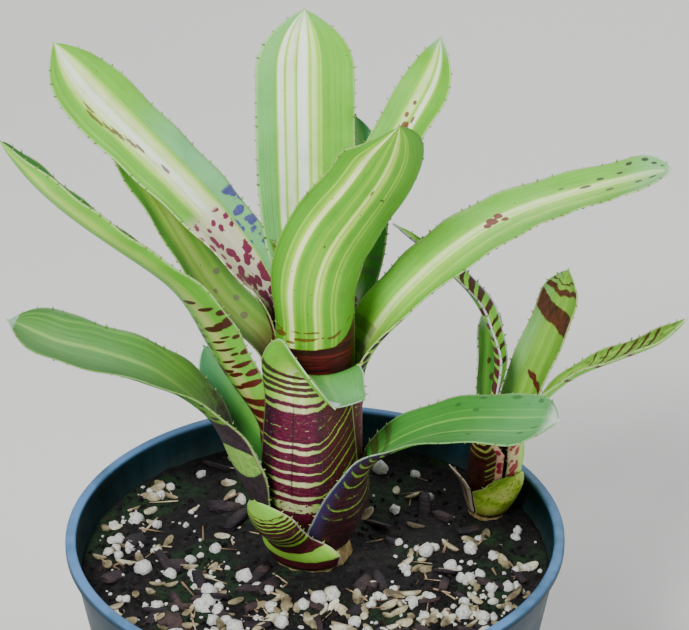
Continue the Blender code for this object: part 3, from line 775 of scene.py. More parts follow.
LEAVES = (
    leaf("front_leaf", MOTHER, 0, 266, wrap=(70, 50), parting=64, length=36, half_width=17.5,
         lean=(3, 10, 75, 102, 108), heading=(270, 288, 304), cup=(120, 110, 80, 60), neck=1.0, tip=0.75),
    leaf("rear_leaf", MOTHER, 0, 80, wrap=(50, 36), parting=62, length=88, half_width=11.5,
         lean=(50, 38, 12, -6, 9), heading=(52, 66), cup=(80, 60, 40, 30), roll=(-6, -4)),
    leaf("left_long_leaf", MOTHER, 1, 185, wrap=(80, 48), parting=42, length=145, half_width=15,
         lean=(40, 30, 24, 45, 47, 40, 26), heading=(170, 197, 194), cup=(165, 140, 90, 100, 90),
         roll=(26, 22, 16)),
    leaf("right_long_leaf", MOTHER, 1, 8, wrap=(80, 58), parting=56, length=146, half_width=14.2,
         lean=(-5, 30, 60, 79, 83, 74, 63), heading=(-6, 42, -18), cup=(140, 90, 60, 50, 40),
         roll=(2, 20, 12), tip=0.9),
    leaf("inner_front_leaf", MOTHER, 2, 282, wrap=(68, 65), parting=84, length=83, half_width=18,
         lean=(-12, 7, 36, 31, -1), heading=(28, 4), cup=(140, 110, 80, 60), roll=(-6, 27)),
    leaf("left_rear_leaf", MOTHER, 2, 150, wrap=(52, 44), parting=62, length=98, half_width=11,
         lean=(44, 54, 36, 38, 50), heading=(152, 152), cup=(90, 60, 50, 40), roll=(5, 5)),
    leaf("upper_left_leaf", MOTHER, 3, 158, wrap=(56, 52), parting=78, length=123, half_width=14.5,
         lean=(20, 36, 48, 53, 52, 32), heading=(156, 151), cup=(110, 60, 40, 30, 30), roll=(0, -12, -18)),
    leaf("upper_right_leaf", MOTHER, 3, 40, wrap=(54, 52), parting=78, length=105, half_width=10,
         lean=(6, 16, 26, 31, 33, 0), heading=(42, 26), cup=(110, 80, 60, 40), roll=(0, 8)),
    leaf("upright_leaf", MOTHER, 4, 95, wrap=(76, 70), parting=88, length=98, half_width=16,
         lean=(10, 11, 7, 10, 20), heading=(102, 87), cup=(130, 60, 30, 20), roll=(-4, 8)),
    leaf("heart_leaf", MOTHER, 5, 205, wrap=(50, 60), parting=86, length=34, half_width=6.5,
         lean=(0, 10, 20), heading=(190, 190), cup=(140, 120, 90)),
    leaf("lower_left_leaf", MOTHER, -1, 195, wrap=(38, 34), parting=13, length=124, half_width=17.4,
         lean=(34, 24, 20, 36, 56, 70, 68, 58), heading=(208, 193, 171), cup=(90, 100, 70, 50, 40),
         roll=(10, 0, -8), tip=0.88),
    leaf("lower_right_leaf", MOTHER, -1, 317, wrap=(62, 50), parting=20, length=97, half_width=15.2,
         lean=(0, 16, 48, 59, 73, 77, 58), heading=(345, 334, 338), cup=(120, 90, 60, 50, 40),
         roll=(20, 25), tip=0.88),
    leaf("lower_rear_leaf", MOTHER, -1, 125, wrap=(26, 26), parting=20, length=52, half_width=9,
         lean=(50, 45, 37, 41), heading=(150, 150), cup=(60, 60, 50, 40)),
    leaf("base_leaf", MOTHER, -2, 246, wrap=(62, 60), parting=6, length=41, half_width=10.8,
         lean=(73, 49, 28, 14), heading=(245, 228), cup=(130, 120, 130), tip=0.6, roll=(5, -6)),
    leaf("offset_front_leaf", OFFSET, 0, 226, wrap=(60, 54), parting=27, length=16, half_width=6,
         lean=(0, 4), heading=(255, 255), cup=(120, 110, 100)),
    leaf("offset_rear_leaf", OFFSET, 0, 125, wrap=(34, 30), parting=27, length=48, half_width=5.6,
         lean=(2, 6, 8, 10), heading=(70, 80), cup=(90, 80, 60)),
    leaf("offset_left_leaf", OFFSET, 2, 165, wrap=(58, 50), parting=28, length=93, half_width=6.5,
         lean=(-20, -15, 4, 22, 41, 48, 53), heading=(178, 175), cup=(110, 110, 100, 80),
         roll=(0, 10), tip=0.35),
    leaf("offset_right_leaf", OFFSET, 0, 323, wrap=(33, 33), parting=23, length=88, half_width=6.8,
         lean=(23, 26, 37, 52, 60, 52, 31), heading=(-16, -20), cup=(90, 90, 80, 70), roll=(12, 22)),
    leaf("offset_upright_leaf", OFFSET, 1, 30, wrap=(62, 54), parting=28, length=62, half_width=8.8,
         lean=(10, 20, 26, 22, 6), heading=(28, 32), cup=(110, 70, 50, 40), roll=(16, 8)),
    leaf("offset_scale_leaf", OFFSET, -1, 305, wrap=(72, 78), parting=12, length=9, half_width=10,
         lean=(14, 16), heading=(320, 330), cup=(130, 110), tip=0.1, neck=1.0),
    leaf("offset_dry_scale", OFFSET, -1, 200, wrap=(24, 24), parting=9, length=14, half_width=4.5,
         lean=(48, 44, 30), heading=(200, 200), cup=(50, 50), tip=0.1, neck=1.0),
)
print("leaves in the table:", len(LEAVES))

# %% [markdown]
# A row of the table gives a few knots, and a leaf bends smoothly through them. The curve used is the
# simplest that passes through all its knots. The outline of the blade widens from its neck, and closes to a
# blunt tip by a power curve.

# %% Curves and the outline of a blade
def direction(lean, heading):
    tilt = math.radians(lean)
    return radial(heading) * math.sin(tilt) + Vector((0, 0, math.cos(tilt)))


def between(a, b, c, d, share):
    """A smooth step of a curve from b to c, with a before it and d after it."""
    return 0.5 * (2 * b + (c - a) * share + (2 * a - 5 * b + 4 * c - d) * share * share
                  + (3 * b - a - 3 * c + d) * share ** 3)


def along(knots, t):
    """The value at t, from 0 to 1, of a smooth curve through evenly spaced knots."""
    spans = len(knots) - 1
    i = min(int(t * spans), spans - 1)
    return between(knots[max(i - 1, 0)], knots[i], knots[i + 1], knots[min(i + 2, spans)], t * spans - i)


def blade_outline(b, neck, tip):
    """Half width of a blade as a share of its widest, at b from its base to its tip."""
    if b <= tip:
        return mix(neck, 1.0, ease(b / 0.5))
    return (1 - ((b - tip) / (1 - tip)) ** 2.2) ** 0.8


print("width left near the tip:", round(blade_outline(0.95, 0.85, 0.8), 2))

# %% [markdown]
# A section says where the leaf's middle is, which way is across and inwards, and how wide and how hollow
# the leaf is there. These are the solid's sections, about one at every spine. From the parting on, the leaf
# turns step by step from the tube's direction to its own.

# %% Sections of the solid
def sheath_heights(spec):
    """Heights of the leaf base's sections: close together where the base flares, then up to the parting."""
    foot = spec["rosette"].foot_height(spec["level"])
    flared = min(foot + spec["rosette"].flare, spec["parting"])
    heights = [mix(foot, flared, i / (SHEATH_ROWS - 1)) for i in range(SHEATH_ROWS)]
    if spec["parting"] > flared:
        heights.append(mix(flared, spec["parting"], 0.5))
        heights.append(spec["parting"])
    return heights


def leaf_rows(spec):
    """Sections from foot to tip, each with its centre, side and inward directions, half width, half angle
    and whether it has spines. The last is the tip's point."""
    rosette, level = spec["rosette"], spec["level"]
    outward = radial(spec["facing"])
    side = radial(spec["facing"] + 90)
    heights = sheath_heights(spec)
    rows = []
    for height in heights:
        share = (height - heights[0]) / (heights[-1] - heights[0])
        wrap = math.radians(mix(*spec["wrap"], share))
        radius = rosette.radius(level, height) / math.cos(wrap / COLUMNS)
        centre = rosette.axis(height) + outward * radius
        rows.append((centre, side, -outward, wrap * radius, wrap, False))
    centre, _, _, sheath_half, wrap, _ = rows[-1]
    slope = rosette.radius(level, heights[-1]) - rosette.radius(level, heights[-1] - 1)
    forward = (outward * slope + Vector((0, 0, 1))).normalized()
    inward = forward.cross(side)
    count = max(4, round(spec["length"] / TOOTH_SPACING))
    reached = 0.0
    for i in range(1, count + 1):
        b = i / count * (1.25 - 0.25 * i / count)
        middle = (b + reached) / 2
        turned = ease(middle * spec["length"] / 18)
        wanted = direction(along(spec["lean"], middle), along(spec["heading"], middle))
        forward = forward.lerp(wanted, turned).normalized()
        inward = (inward - forward * inward.dot(forward)).normalized()
        centre = centre + forward * (b - reached) * spec["length"]
        reached = b
        own = ease(b / 0.25)
        rolled = Matrix.Rotation(math.radians(along(spec["roll"], b)), 3, forward) @ inward
        towards = (-outward).lerp(rolled, own).normalized()
        across = towards.cross(forward).normalized()
        half = mix(sheath_half, spec["half_width"] * blade_outline(b, spec["neck"], spec["tip"]), own)
        angle = mix(wrap, math.radians(along(spec["cup"], b)) / 2, own)
        rows.append((centre, across, towards, half, angle, True))
    return rows


print("sections of the first leaf:", len(leaf_rows(LEAVES[0])))

# %% [markdown]
# The blade is seen from close by, so it needs a section at every millimetre and a half. They follow the
# solid's sections by the same smooth curve, and crowd together at the tip, which would look cut otherwise.

# %% Close sections
def fine_sections(spec):
    """Close sections along a leaf: centre, across, inward, half width, half angle, and mm from the foot."""
    rows = leaf_rows(spec)
    sheath = [row for row in rows if not row[5]]
    blade = rows[len(sheath):]
    rosette = spec["rosette"]
    heights = sheath_heights(spec)
    outward = radial(spec["facing"])
    side = radial(spec["facing"] + 90)
    sections = []
    steps = math.ceil((heights[-1] - heights[0]) / ROW_STEP)
    for i in range(steps + 1):
        height = mix(heights[0], heights[-1], i / steps)
        wrap = math.radians(mix(*spec["wrap"], i / steps))
        reach = rosette.radius(spec["level"], height) * 1.01
        sections.append([rosette.axis(height) + outward * reach, side, -outward, wrap * reach, wrap])
    sheath_half = sections[-1][3]
    knots = [sheath[-2], sheath[-1]] + blade + [blade[-1]]
    count = len(blade)
    steps = math.ceil(spec["length"] / ROW_STEP)
    shares = [i / steps for i in range(1, steps - 1)]
    shares += [1 - 1.5 / steps, 1 - 1.1 / steps, 1 - 0.75 / steps, 1 - 0.45 / steps, 1.0]
    for share in shares:
        t = share * count
        i = min(int(t), count - 1)
        near = knots[i:i + 4]
        centre, across, inward = (between(*(row[part] for row in near), t - i) for part in range(3))
        b = share * (1.25 - 0.25 * share)
        own = ease(b / 0.25)
        outline = blade_outline(min(b / (1 - 1.2 / spec["length"]), 1.0), spec["neck"], spec["tip"])
        half = mix(sheath_half, spec["half_width"] * outline, own)
        half = max(half, 0.12 + 0.4 * min((1 - share) * spec["length"] / 1.5, 1.0))
        angle = mix(wrap, math.radians(along(spec["cup"], b)) / 2, own)
        sections.append([centre, across.normalized(), inward.normalized(), half, angle])
    reached = 0.0
    for before, row in zip([sections[0]] + sections, sections):
        reached += (row[0] - before[0]).length
        row.append(reached)
    return sections


print("close sections of the first leaf:", len(fine_sections(LEAVES[0])))


# %% [markdown]
# Both margins carry small hooked spines. One is modelled as a hexagon that is extruded twice and shrunk,
# leaning towards the tip of the leaf. The places come from the margin itself: each spine stands off it at a
# right angle, and neither their size nor their spacing is quite even.

# %% Spines
SPINE_SPACING = 3.6
FIRST_SPINE = 2.0  # mm above the parting
LAST_SPINE = 3.5  # mm from the tip


def leaf_point(section, u, ripple=0.0):
    centre, across, inward, half, angle, _ = section
    turn = angle * (2 * u - 1)
    point = centre + across * (half * math.sin(turn) / angle) + inward * (half * (1 - math.cos(turn)) / angle)
    return point + inward * ripple


def model_spine():
    """One marginal spine, leaning to the tip of the leaf, which is +X, and standing off the margin, +Z."""
    start_clean()
    bpy.ops.mesh.primitive_circle_add(vertices=6, radius=0.5, fill_type="NGON", location=(0, 0, -0.35))
    spine = bpy.context.object
    bpy.ops.object.transform_apply(location=True)
    bpy.ops.object.mode_set(mode="EDIT")
    for size, forward, up in ((0.55, 0.12, 0.75), (0.14, 0.45, 0.75)):
        bpy.ops.mesh.extrude_region_move(TRANSFORM_OT_translate={"value": (forward, 0, up)})
        bpy.ops.transform.resize(value=(size, size, 1))
    bpy.ops.mesh.select_all(action="SELECT")
    bpy.ops.mesh.normals_make_consistent(inside=False)
    bpy.ops.object.mode_set(mode="OBJECT")
    return spine


spine_model = model_spine()
print("spine", len(spine_model.data.polygons), "faces")


def leaf_spines(spec, sections):
    """Matrices of the spines on both margins of the blade."""
    matrices = []
    parted = sheath_heights(spec)[-1] - sheath_heights(spec)[0]
    for u, inner in ((0.0, 0.06), (1.0, 0.94)):
        next_at = parted + FIRST_SPINE
        for low, high in zip(sections, sections[1:]):
            if high[5] < next_at or high[5] > sections[-1][5] - LAST_SPINE:
                continue
            next_at = high[5] + SPINE_SPACING * (1 + 0.2 * math.sin(high[5] * 1.7 + 9 * u))
            edge = leaf_point(high, u)
            outward = (edge - leaf_point(high, inner)).normalized()
            forward = (edge - leaf_point(low, u)).normalized()
            forward = (forward - outward * forward.dot(outward)).normalized()
            size = 0.72 + 0.14 * math.sin(high[5] * 2.9)
            turn = Matrix((forward, outward.cross(forward), outward)).transposed().to_4x4()
            scale = Matrix.Diagonal((size * MM, size * MM, size * MM, 1.0))
            matrices.append(Matrix.Translation(edge * MM) @ turn @ scale)
    return matrices

# %% [markdown]
# A leaf starts as a flat grid. Its points are moved to the sections, and it gets a thickness that fades
# towards the margins and the tip. Its map runs across it from 0 to 1 and along it in fifths of a metre, so
# that a stripe can follow it round every bend. The first finish is the underside, the second the upper
# side.

# %% One leaf
MAP_LENGTH = 200.0  # mm of leaf in one unit of its map


def build_leaf(spec, slot, under, upper, spine_material):
    sections = fine_sections(spec)
    last = len(sections) - 1
    start_clean()
    bpy.ops.mesh.primitive_grid_add(x_subdivisions=STRIPS, y_subdivisions=last, size=1)
    blade = bpy.context.object
    blade.name = spec["name"].replace("_leaf", "").replace("_scale", "") + "_blade"
    for layer in list(blade.data.uv_layers):
        blade.data.uv_layers.remove(layer)
    leaf_map = blade.data.uv_layers.new(name="leaf")
    group = blade.vertex_groups.new(name="thick")
    places = []
    for vertex in blade.data.vertices:
        u = vertex.co.x + 0.5
        row = round((vertex.co.y + 0.5) * last)
        section = sections[row]
        to_tip = sections[-1][5] - section[5]
        margin = 1 - abs(2 * u - 1)
        wave = 0.35 * (1 - margin) ** 2 * math.sin(section[5] / 3.3 + 5 * u) * ease(section[5] / 60)
        vertex.co = leaf_point(section, u, wave * min(1.0, to_tip / 8)) * MM
        group.add([vertex.index], min(1.0, margin * 5) * min(1.0, 0.2 + to_tip / 6), "REPLACE")
        places.append((u, section[5] / MAP_LENGTH))
    for loop in blade.data.loops:
        leaf_map.data[loop.index].uv = places[loop.vertex_index]
    for material in (under, upper):
        blade.data.materials.append(material)
    apply_modifier(blade, "thickness", "SOLIDIFY", thickness=BLADE * MM, offset=0.0, vertex_group="thick",
                   thickness_vertex_group=0.45, material_offset=1, material_offset_rim=1)
    finish_piece(blade, slot, [], spec["name"])
    spines = leaf_spines(spec, sections)
    if spines:
        piece = copies(blade.name.replace("_blade", "_spines"), spine_model, spines)
        finish_piece(piece, slot, [spine_material])

# %% [markdown]
# The markings of a leaf follow it: a stripe runs to the tip, a bar goes round it. So its paint is a recipe on
# the leaf's own map, and reads in millimetres. Stripes are a ramp across the leaf, which gives a level from
# green, 0, to white, 1. Bars are a ramp along it, spots are ellipses, and noise tears the edges of both.

# %% Greens, maroons and lengths
LEAF_SPEC = {spec["name"]: spec for spec in LEAVES}
LEAF_LENGTH = {spec["name"]: fine_sections(spec)[-1][5] for spec in LEAVES}
DARK_SPECK = shade(52, 30, 20)
MINT = shade(126, 200, 128)
MAROON = shade(84, 14, 22)
BROWN = shade(92, 50, 26)
WHITISH = shade(232, 240, 240)
FRESH = [(0, shade(70, 142, 26)), (0.25, shade(118, 194, 56)), (0.5, shade(176, 226, 84)),
         (0.75, shade(222, 246, 164)), (1, shade(246, 255, 240))]
DEEP = [(0, shade(54, 118, 16)), (0.25, shade(92, 166, 34)), (0.5, shade(154, 206, 56)),
        (0.75, shade(222, 238, 140)), (1, shade(248, 250, 228))]
COOL = [(0, shade(36, 96, 34)), (0.25, shade(62, 136, 48)), (0.5, shade(112, 176, 66)),
        (0.75, shade(170, 206, 104)), (1, shade(224, 238, 200))]
LOOKS = {}  # the finishes of each leaf's two sides
print("leaves", len(LEAVES), "longest", round(max(LEAF_LENGTH.values())), "mm")

# %% [markdown]
# The last coats are the same on every leaf. Dark specks, a pale margin, long veins and fine pores lie over
# its pattern, and the shine is uneven, as wax on a living leaf is.

# %% Paint for leaves
class LeafPaint(Paint):
    """A finish for one side of a leaf. u runs across the leaf from 0 to 1, and mm along it from its foot."""

    def __init__(self, leaf_name, side):
        spec = LEAF_SPEC[leaf_name]
        super().__init__(leaf_name.replace("_leaf", "") + "_" + side, roughness=0.4, specular=0.32)
        self.belongs_to = (leaf_name, side)
        self.wide = spec["half_width"] * 2
        self.seed = LEAVES.index(spec) * 3.7 + (50 if side == "under" else 0)
        leaf_map = self.add("ShaderNodeUVMap", uv_map="leaf")
        self.u = self.add("ShaderNodeSeparateXYZ", {"Vector": leaf_map})
        self.mm = Value(self, self.u.socket.node.outputs[1]) * MAP_LENGTH
        self.edge = (0.5 - abs(self.u - 0.5)) * self.wide
        self.to_tip = LEAF_LENGTH[leaf_name] - self.mm

    def grain(self, across, along_it, detail=2.0, rough=0.5, shift=0.0):
        """Noise with features of these sizes in mm, across the leaf and along it."""
        spot = self.add("ShaderNodeCombineXYZ", {"X": self.u * (self.wide / across), "Y": self.mm / along_it,
                                                 "Z": self.seed + shift})
        return self.noise(spot, 1.0, detail, rough)

    def stripes(self, stops, streak=0.3, shift=0.0):
        """The level of cream across the leaf, with fine streaks of its own."""
        sway = (self.grain(40, 60, shift=1) - 0.5) * 0.04
        level = self.ramp(self.u + sway + shift, stops)
        fine = self.grain(0.55, 70, detail=3, rough=0.65, shift=2) - 0.5
        broad = self.grain(14, 26, detail=3, shift=6) - 0.5
        return level + fine * streak + broad * 0.15

    def bands(self, rows, place=None, soft=0.3):
        """1 inside any of the stretches (low, high) in mm, 0 outside them."""
        place = (place or self.mm) / MAP_LENGTH
        field = None
        for first in range(0, len(rows), 7):
            stops = [(0, 0.0)]
            for low, high in rows[first:first + 7]:
                inner = min(soft, (high - low) * 0.4)
                edges = ((low - soft, 0.0), (low + inner, 1.0), (high - inner, 1.0), (high + soft, 0.0))
                stops += [(mm / MAP_LENGTH, level) for mm, level in edges]
            group = self.ramp(place, stops)
            field = group if field is None else self.larger(field, group)
        return field

    def spots(self, rows):
        """More than 0 inside any of the ellipses (u, mm, half size across, half size along)."""
        field = None
        for u, mm, across, ahead in rows:
            aside = (self.u - u) * (self.wide / across)
            forward = (self.mm - mm) / ahead
            inside = 1 - (aside * aside + forward * forward)
            field = inside if field is None else self.larger(field, inside)
        return field

    def torn(self, field, amount, across=1.5, along_it=1.0, low=0.35, high=0.65, shift=8.0):
        """The field with ragged edges, as a share from 0 to 1."""
        return self.step(field + (self.grain(across, along_it, 4, 0.65, shift) - 0.5) * amount, low, high)

    def blotches(self, across, along_it, size, even=0.8, shift=20.0):
        """More than 0 inside closely set, uneven blotches. A larger size lets them run together."""
        sway = self.grain(across * 1.6, along_it * 1.6, 2, 0.5, shift + 1) - 0.5
        spot = self.add("ShaderNodeCombineXYZ", {"X": self.u * (self.wide / across) + sway,
                                                 "Y": self.mm / along_it + sway, "Z": self.seed + shift})
        apart = self.add("ShaderNodeTexVoronoi", {"Vector": spot, "Scale": 1.0, "Randomness": even})
        return size - apart

    def up(self, start, end):
        """From 0 at one height along the leaf, in mm, to 1 at another."""
        return self.step(self.mm, start, end)

    def side(self, start, end):
        """From 0 at one place across the leaf to 1 at another."""
        return self.step(self.u, start, end)

    def near_tip(self, start, end):
        """From 0 at one distance from the tip, in mm, to 1 at another."""
        return self.step(self.to_tip, start, end)

    def ground(self, palette, *stripes, dim=1.0):
        """The first coat: stripes along the leaf in the tones of a palette."""
        level = self.stripes(*stripes)
        self.colour = self.ramp(level if dim == 1.0 else level * dim, palette)

    def coat(self, share, tone):
        """Lay one more coat over the colour so far."""
        self.colour = self.blend(share, self.colour, tone)

    def finish_leaf(self, specks=0.75, rim=shade(196, 214, 150), rim_share=0.5, shine=0.36):
        """The last coats: dark specks, a paler margin, veins and pores, and an uneven shine."""
        freckles = self.step(self.grain(1.1, 1.1, detail=1, shift=11), 0.735, 0.80)
        pale = self.step(self.edge, 0.75, 0.2)
        tone = self.grain(5, 9, detail=3, shift=12)
        self.coat(pale * rim_share, rim)
        self.coat(freckles * specks, DARK_SPECK)
        self.coat(self.step(tone, 0.45, 0.75) * 0.14, shade(30, 60, 20))
        veins = self.grain(0.5, 80, detail=2, shift=3)
        pores = self.grain(0.35, 0.8, detail=2, shift=4)
        self.bump(veins * 0.8 + pores * 0.2, 0.00035, 0.55)
        self.keep(self.finish(self.colour, shine + self.grain(8, 14, detail=3, shift=5) * 0.2 + pores * 0.06))

    def keep(self, look):
        """Keep a finish until the blade that it belongs to is built."""
        LOOKS[self.belongs_to] = look
        print(look.name, len(look.node_tree.nodes), "nodes")


# %% [markdown]
# The upright leaf at the back shows its upper side: a wide white and cream middle of many stripes between
# two broad green margins, the left one more of a mint green.

# %% Upright leaf
UPRIGHT = [(0, 0.2), (0.3, 0.22), (0.325, 0.3), (0.333, 0.6), (0.345, 0.35), (0.37, 0.5), (0.385, 0.68),
           (0.42, 0.72), (0.435, 0.45), (0.455, 0.5), (0.47, 0.95), (0.5, 1.0), (0.55, 1.0), (0.57, 0.85),
           (0.578, 0.35), (0.59, 0.55), (0.61, 0.85), (0.67, 0.85), (0.69, 0.5), (0.703, 0.45), (0.715, 0.95),
           (0.765, 0.95), (0.785, 0.35), (0.8, 0.22), (1, 0.2)]
paint = LeafPaint("upright_leaf", "upper")
paint.ground(FRESH, UPRIGHT, 0.28)
paint.coat(paint.side(0.76, 0.84) * 0.55, MINT)
paint.coat(paint.near_tip(9, 0) * 0.35, MINT)
paint.finish_leaf(0.4)
paint = LeafPaint("upright_leaf", "under")
paint.ground(DEEP, UPRIGHT, 0.2, dim=0.7)
paint.finish_leaf()

# %% [markdown]
# The leaf in front of it shows its underside: a deeper yellow-green with two cream stripes that swing to the
# right, fainter lines beside them, two broken brown bars, and at its foot a wide maroon band.

# %% Inner front leaf
INNER_FRONT = [(0, 0.14), (0.115, 0.18), (0.13, 0.5), (0.15, 0.3), (0.17, 0.42), (0.19, 0.56),
               (0.205, 0.84), (0.235, 0.82), (0.252, 0.34), (0.3, 0.24), (0.345, 0.3), (0.36, 0.44),
               (0.375, 0.27), (0.425, 0.28), (0.445, 0.62), (0.46, 0.8), (0.475, 0.46), (0.49, 0.58),
               (0.51, 0.5), (0.535, 0.27), (0.6, 0.24), (0.615, 0.48), (0.635, 0.27), (0.66, 0.42),
               (0.68, 0.24), (1, 0.12)]
paint = LeafPaint("inner_front_leaf", "under")
paint.ground(DEEP, INNER_FRONT, 0.3)
climb = paint.ramp(paint.u, [(0, 0.1), (0.12, 0.0), (0.65, 0.05), (0.8, 0.35), (1, 1.0)]) * 9
raised = paint.mm - climb
band = paint.torn(paint.bands([(20, 64.0)], raised, 0.6), 0.5, 4, 1.2)
bar_breaks = paint.step(paint.grain(7, 6, shift=9), 0.42, 0.56)
broken = paint.bands([(67.2, 68.4), (70.2, 70.9)], raised, 0.4) * bar_breaks
edge_bars = paint.spots([(0.1, 69, 2.8, 1.5), (0.2, 66.5, 2.6, 0.8)])
bars = paint.torn(paint.larger(broken, edge_bars), 0.7, 2.2, 0.7)
rings = paint.grain(18, 0.9, detail=3, rough=0.6, shift=10)
maroon = paint.ramp(rings, [(0.3, shade(30, 8, 10)), (0.5, shade(62, 14, 16)), (0.68, shade(108, 34, 28))])
paint.coat(bars * 0.85, shade(98, 44, 20))
paint.coat(band, maroon)
scratches = paint.torn(paint.spots([(0.46, 122, 0.5, 1.4), (0.61, 121, 1.4, 0.5), (0.4, 100, 0.4, 0.7)]), 0.6)
paint.coat(scratches * 0.8, DARK_SPECK)
paint.finish_leaf(0.7, rim=shade(170, 206, 100))
paint = LeafPaint("inner_front_leaf", "upper")
paint.ground(DEEP, INNER_FRONT, 0.25, dim=0.6)
paint.coat(paint.up(66, 50), MAROON)
paint.finish_leaf()

# %% [markdown]
# The upper left leaf has the widest cream middle. Its right margin is mint green and ends in violet patches,
# and where it enters the vase the cream is spotted with magenta. Two brown scars run along its left part.

# %% Upper left leaf
UPPER_LEFT = [(0, 0.2), (0.25, 0.25), (0.275, 0.4), (0.3, 0.52), (0.33, 0.66), (0.38, 0.8), (0.42, 0.72),
              (0.47, 1.0), (0.53, 0.97), (0.555, 0.78), (0.6, 0.84), (0.64, 0.62), (0.68, 0.58), (0.71, 0.42),
              (0.74, 0.25), (0.85, 0.2), (0.9, 0.3), (0.93, 0.2), (1, 0.15)]
SCARS = [(0.705, 148, 1.1, 5.5), (0.67, 143, 0.8, 4.5), (0.635, 139.5, 1.2, 4.6), (0.59, 134.5, 0.9, 4.5),
         (0.555, 131.5, 0.8, 3.4), (0.51, 121, 1.0, 2.6), (0.66, 152, 0.7, 4.0)]
paint = LeafPaint("upper_left_leaf", "upper")
paint.ground(FRESH, UPPER_LEFT, 0.26)
paint.coat(paint.side(0.3, 0.22) * paint.up(150, 120) * 0.7, shade(130, 200, 150))
pale_foot = paint.up(106, 98) * paint.side(0.26, 0.32)
paint.coat(pale_foot * 0.75, shade(236, 216, 196))
crowd = paint.up(104, 76) * 0.2
magenta = paint.torn(paint.blotches(4.4, 3.6, 0.36 + crowd), 0.34, 1.2, 1.2, 0.0, 0.05)
magenta = magenta * paint.up(102, 100.5) * paint.side(0.27, 0.3)
violet = paint.torn(paint.blotches(5.4, 3.2, 0.52, shift=30), 0.4, 1.4, 1.2, 0.0, 0.05)
violet = violet * paint.up(105, 103.5) * paint.up(79, 82) * paint.side(0.27, 0.25)
scars = paint.torn(paint.spots(SCARS), 2.2, 0.8, 1.4, 0.35, 0.7)
magenta_tone = paint.blend(paint.grain(2, 2, 2, 0.5, 33), shade(96, 4, 52), shade(156, 26, 92))
violet_tone = paint.blend(paint.grain(2, 2, 2, 0.5, 34), shade(52, 42, 118), shade(104, 96, 176))
paint.coat(magenta * 0.97, magenta_tone)
paint.coat(violet * 0.95, violet_tone)
paint.coat(scars * 0.8, BROWN)
paint.coat(paint.up(74, 62) * 0.97, shade(60, 18, 26))
paint.finish_leaf(0.45)
paint = LeafPaint("upper_left_leaf", "under")
paint.ground(DEEP, UPPER_LEFT, 0.2, dim=0.6)
bars = paint.torn(paint.grain(9, 2.4, 3, 0.6, 9) + paint.up(100, 60) * 0.22, 0.2, 2, 1, 0.6, 0.66)
paint.coat(bars * paint.up(108, 96), MAROON)
paint.finish_leaf()

# %% [markdown]
# The leaf behind it hangs in its shade, a dull green with a paler middle and faint violet spots low down.

# %% Left rear leaf
LEFT_REAR = [(0, 0.1), (0.12, 0.14), (0.2, 0.4), (0.27, 0.3), (0.35, 0.5), (0.45, 0.62), (0.52, 0.45),
             (0.6, 0.58), (0.68, 0.4), (0.76, 0.25), (0.85, 0.18), (1, 0.22)]
paint = LeafPaint("left_rear_leaf", "upper")
paint.ground(DEEP, LEFT_REAR, 0.22)
# painted shadow: the upper part is dulled where the upper left leaf shades it
cast_shadow_patch = paint.up(122, 84) * paint.side(0.95, 0.72)
paint.coat(cast_shadow_patch * 0.45, shade(104, 128, 72))
faint = paint.torn(paint.spots([(0.23, 83, 1.6, 1.2), (0.25, 72, 1.4, 1.2), (0.5, 78, 1.2, 1.0),
                                (0.4, 66, 2, 1.4)]), 0.9, 1.4, 1.2, -0.1, 0.3)
paint.coat(faint * 0.6, shade(104, 50, 92))
paint.coat(paint.up(66, 52) * 0.8, shade(76, 20, 34))
paint.finish_leaf(0.6)
paint = LeafPaint("left_rear_leaf", "under")
paint.ground(DEEP, LEFT_REAR, 0.2, dim=0.7)
bars = paint.torn(paint.grain(9, 2.2, 3, 0.6, 9) + paint.up(90, 45) * 0.22, 0.2, 2, 1, 0.6, 0.66)
paint.coat(bars * paint.up(100, 84), MAROON)
paint.finish_leaf()

# %% [markdown]
# The long left leaf turns its underside to the viewer. A cream stripe runs down it, and from its bend to its
# foot brown-red bars crowd closer and closer.

# %% Left long leaf
LEFT_LONG = [(0, 0.12), (0.3, 0.18), (0.5, 0.3), (0.62, 0.22), (0.7, 0.3), (0.745, 0.44), (0.78, 0.54),
             (0.83, 0.48), (0.87, 0.36), (0.9, 0.24), (1, 0.16)]
LEFT_LONG_BARS = [(0.66, 87, 3.2, 1.0), (0.81, 83.5, 3.4, 0.9), (0.97, 81, 2.6, 1.2), (1.0, 77, 3.4, 1.9),
                  (0.88, 76.0, 3.6, 1.6), (0.74, 75, 4.0, 1.3), (0.72, 69.5, 3.0, 0.6), (0.82, 71, 2.0, 0.5),
                  (0.94, 70, 1.4, 0.9), (0.74, 66, 4.4, 0.6), (0.98, 63, 2.6, 1.1), (0.84, 63.5, 1.8, 0.6),
                  (0.7, 61, 3.2, 0.6), (0.84, 58.6, 4.4, 1.0), (0.92, 54.6, 3.0, 1.2), (0.7, 55.5, 3.4, 0.9),
                  (0.84, 51, 5.0, 1.2), (0.6, 57, 3.4, 0.8), (0.66, 50.5, 3.4, 0.8)]
paint = LeafPaint("left_long_leaf", "under")
slide = paint.up(112, 84) * 0.1
paint.ground(FRESH, LEFT_LONG, 0.26, slide)
paint.coat(paint.up(150, 90) * 0.3, shade(96, 168, 48))
pinkish = paint.up(100, 84) * paint.bands([(126, 158)], paint.u * MAP_LENGTH, 8)
paint.coat(pinkish * 0.45, shade(204, 172, 132))
bars = paint.torn(paint.spots(LEFT_LONG_BARS), 1.1, 2.0, 0.9, -0.15, 0.3)
low_rows = [(30, 34.5), (36, 40.2), (41.6, 44.6), (46, 48.4)]
low_bars = paint.torn(paint.bands(low_rows, paint.mm + paint.u * 3, 0.5), 0.8, 3.0, 1.0)
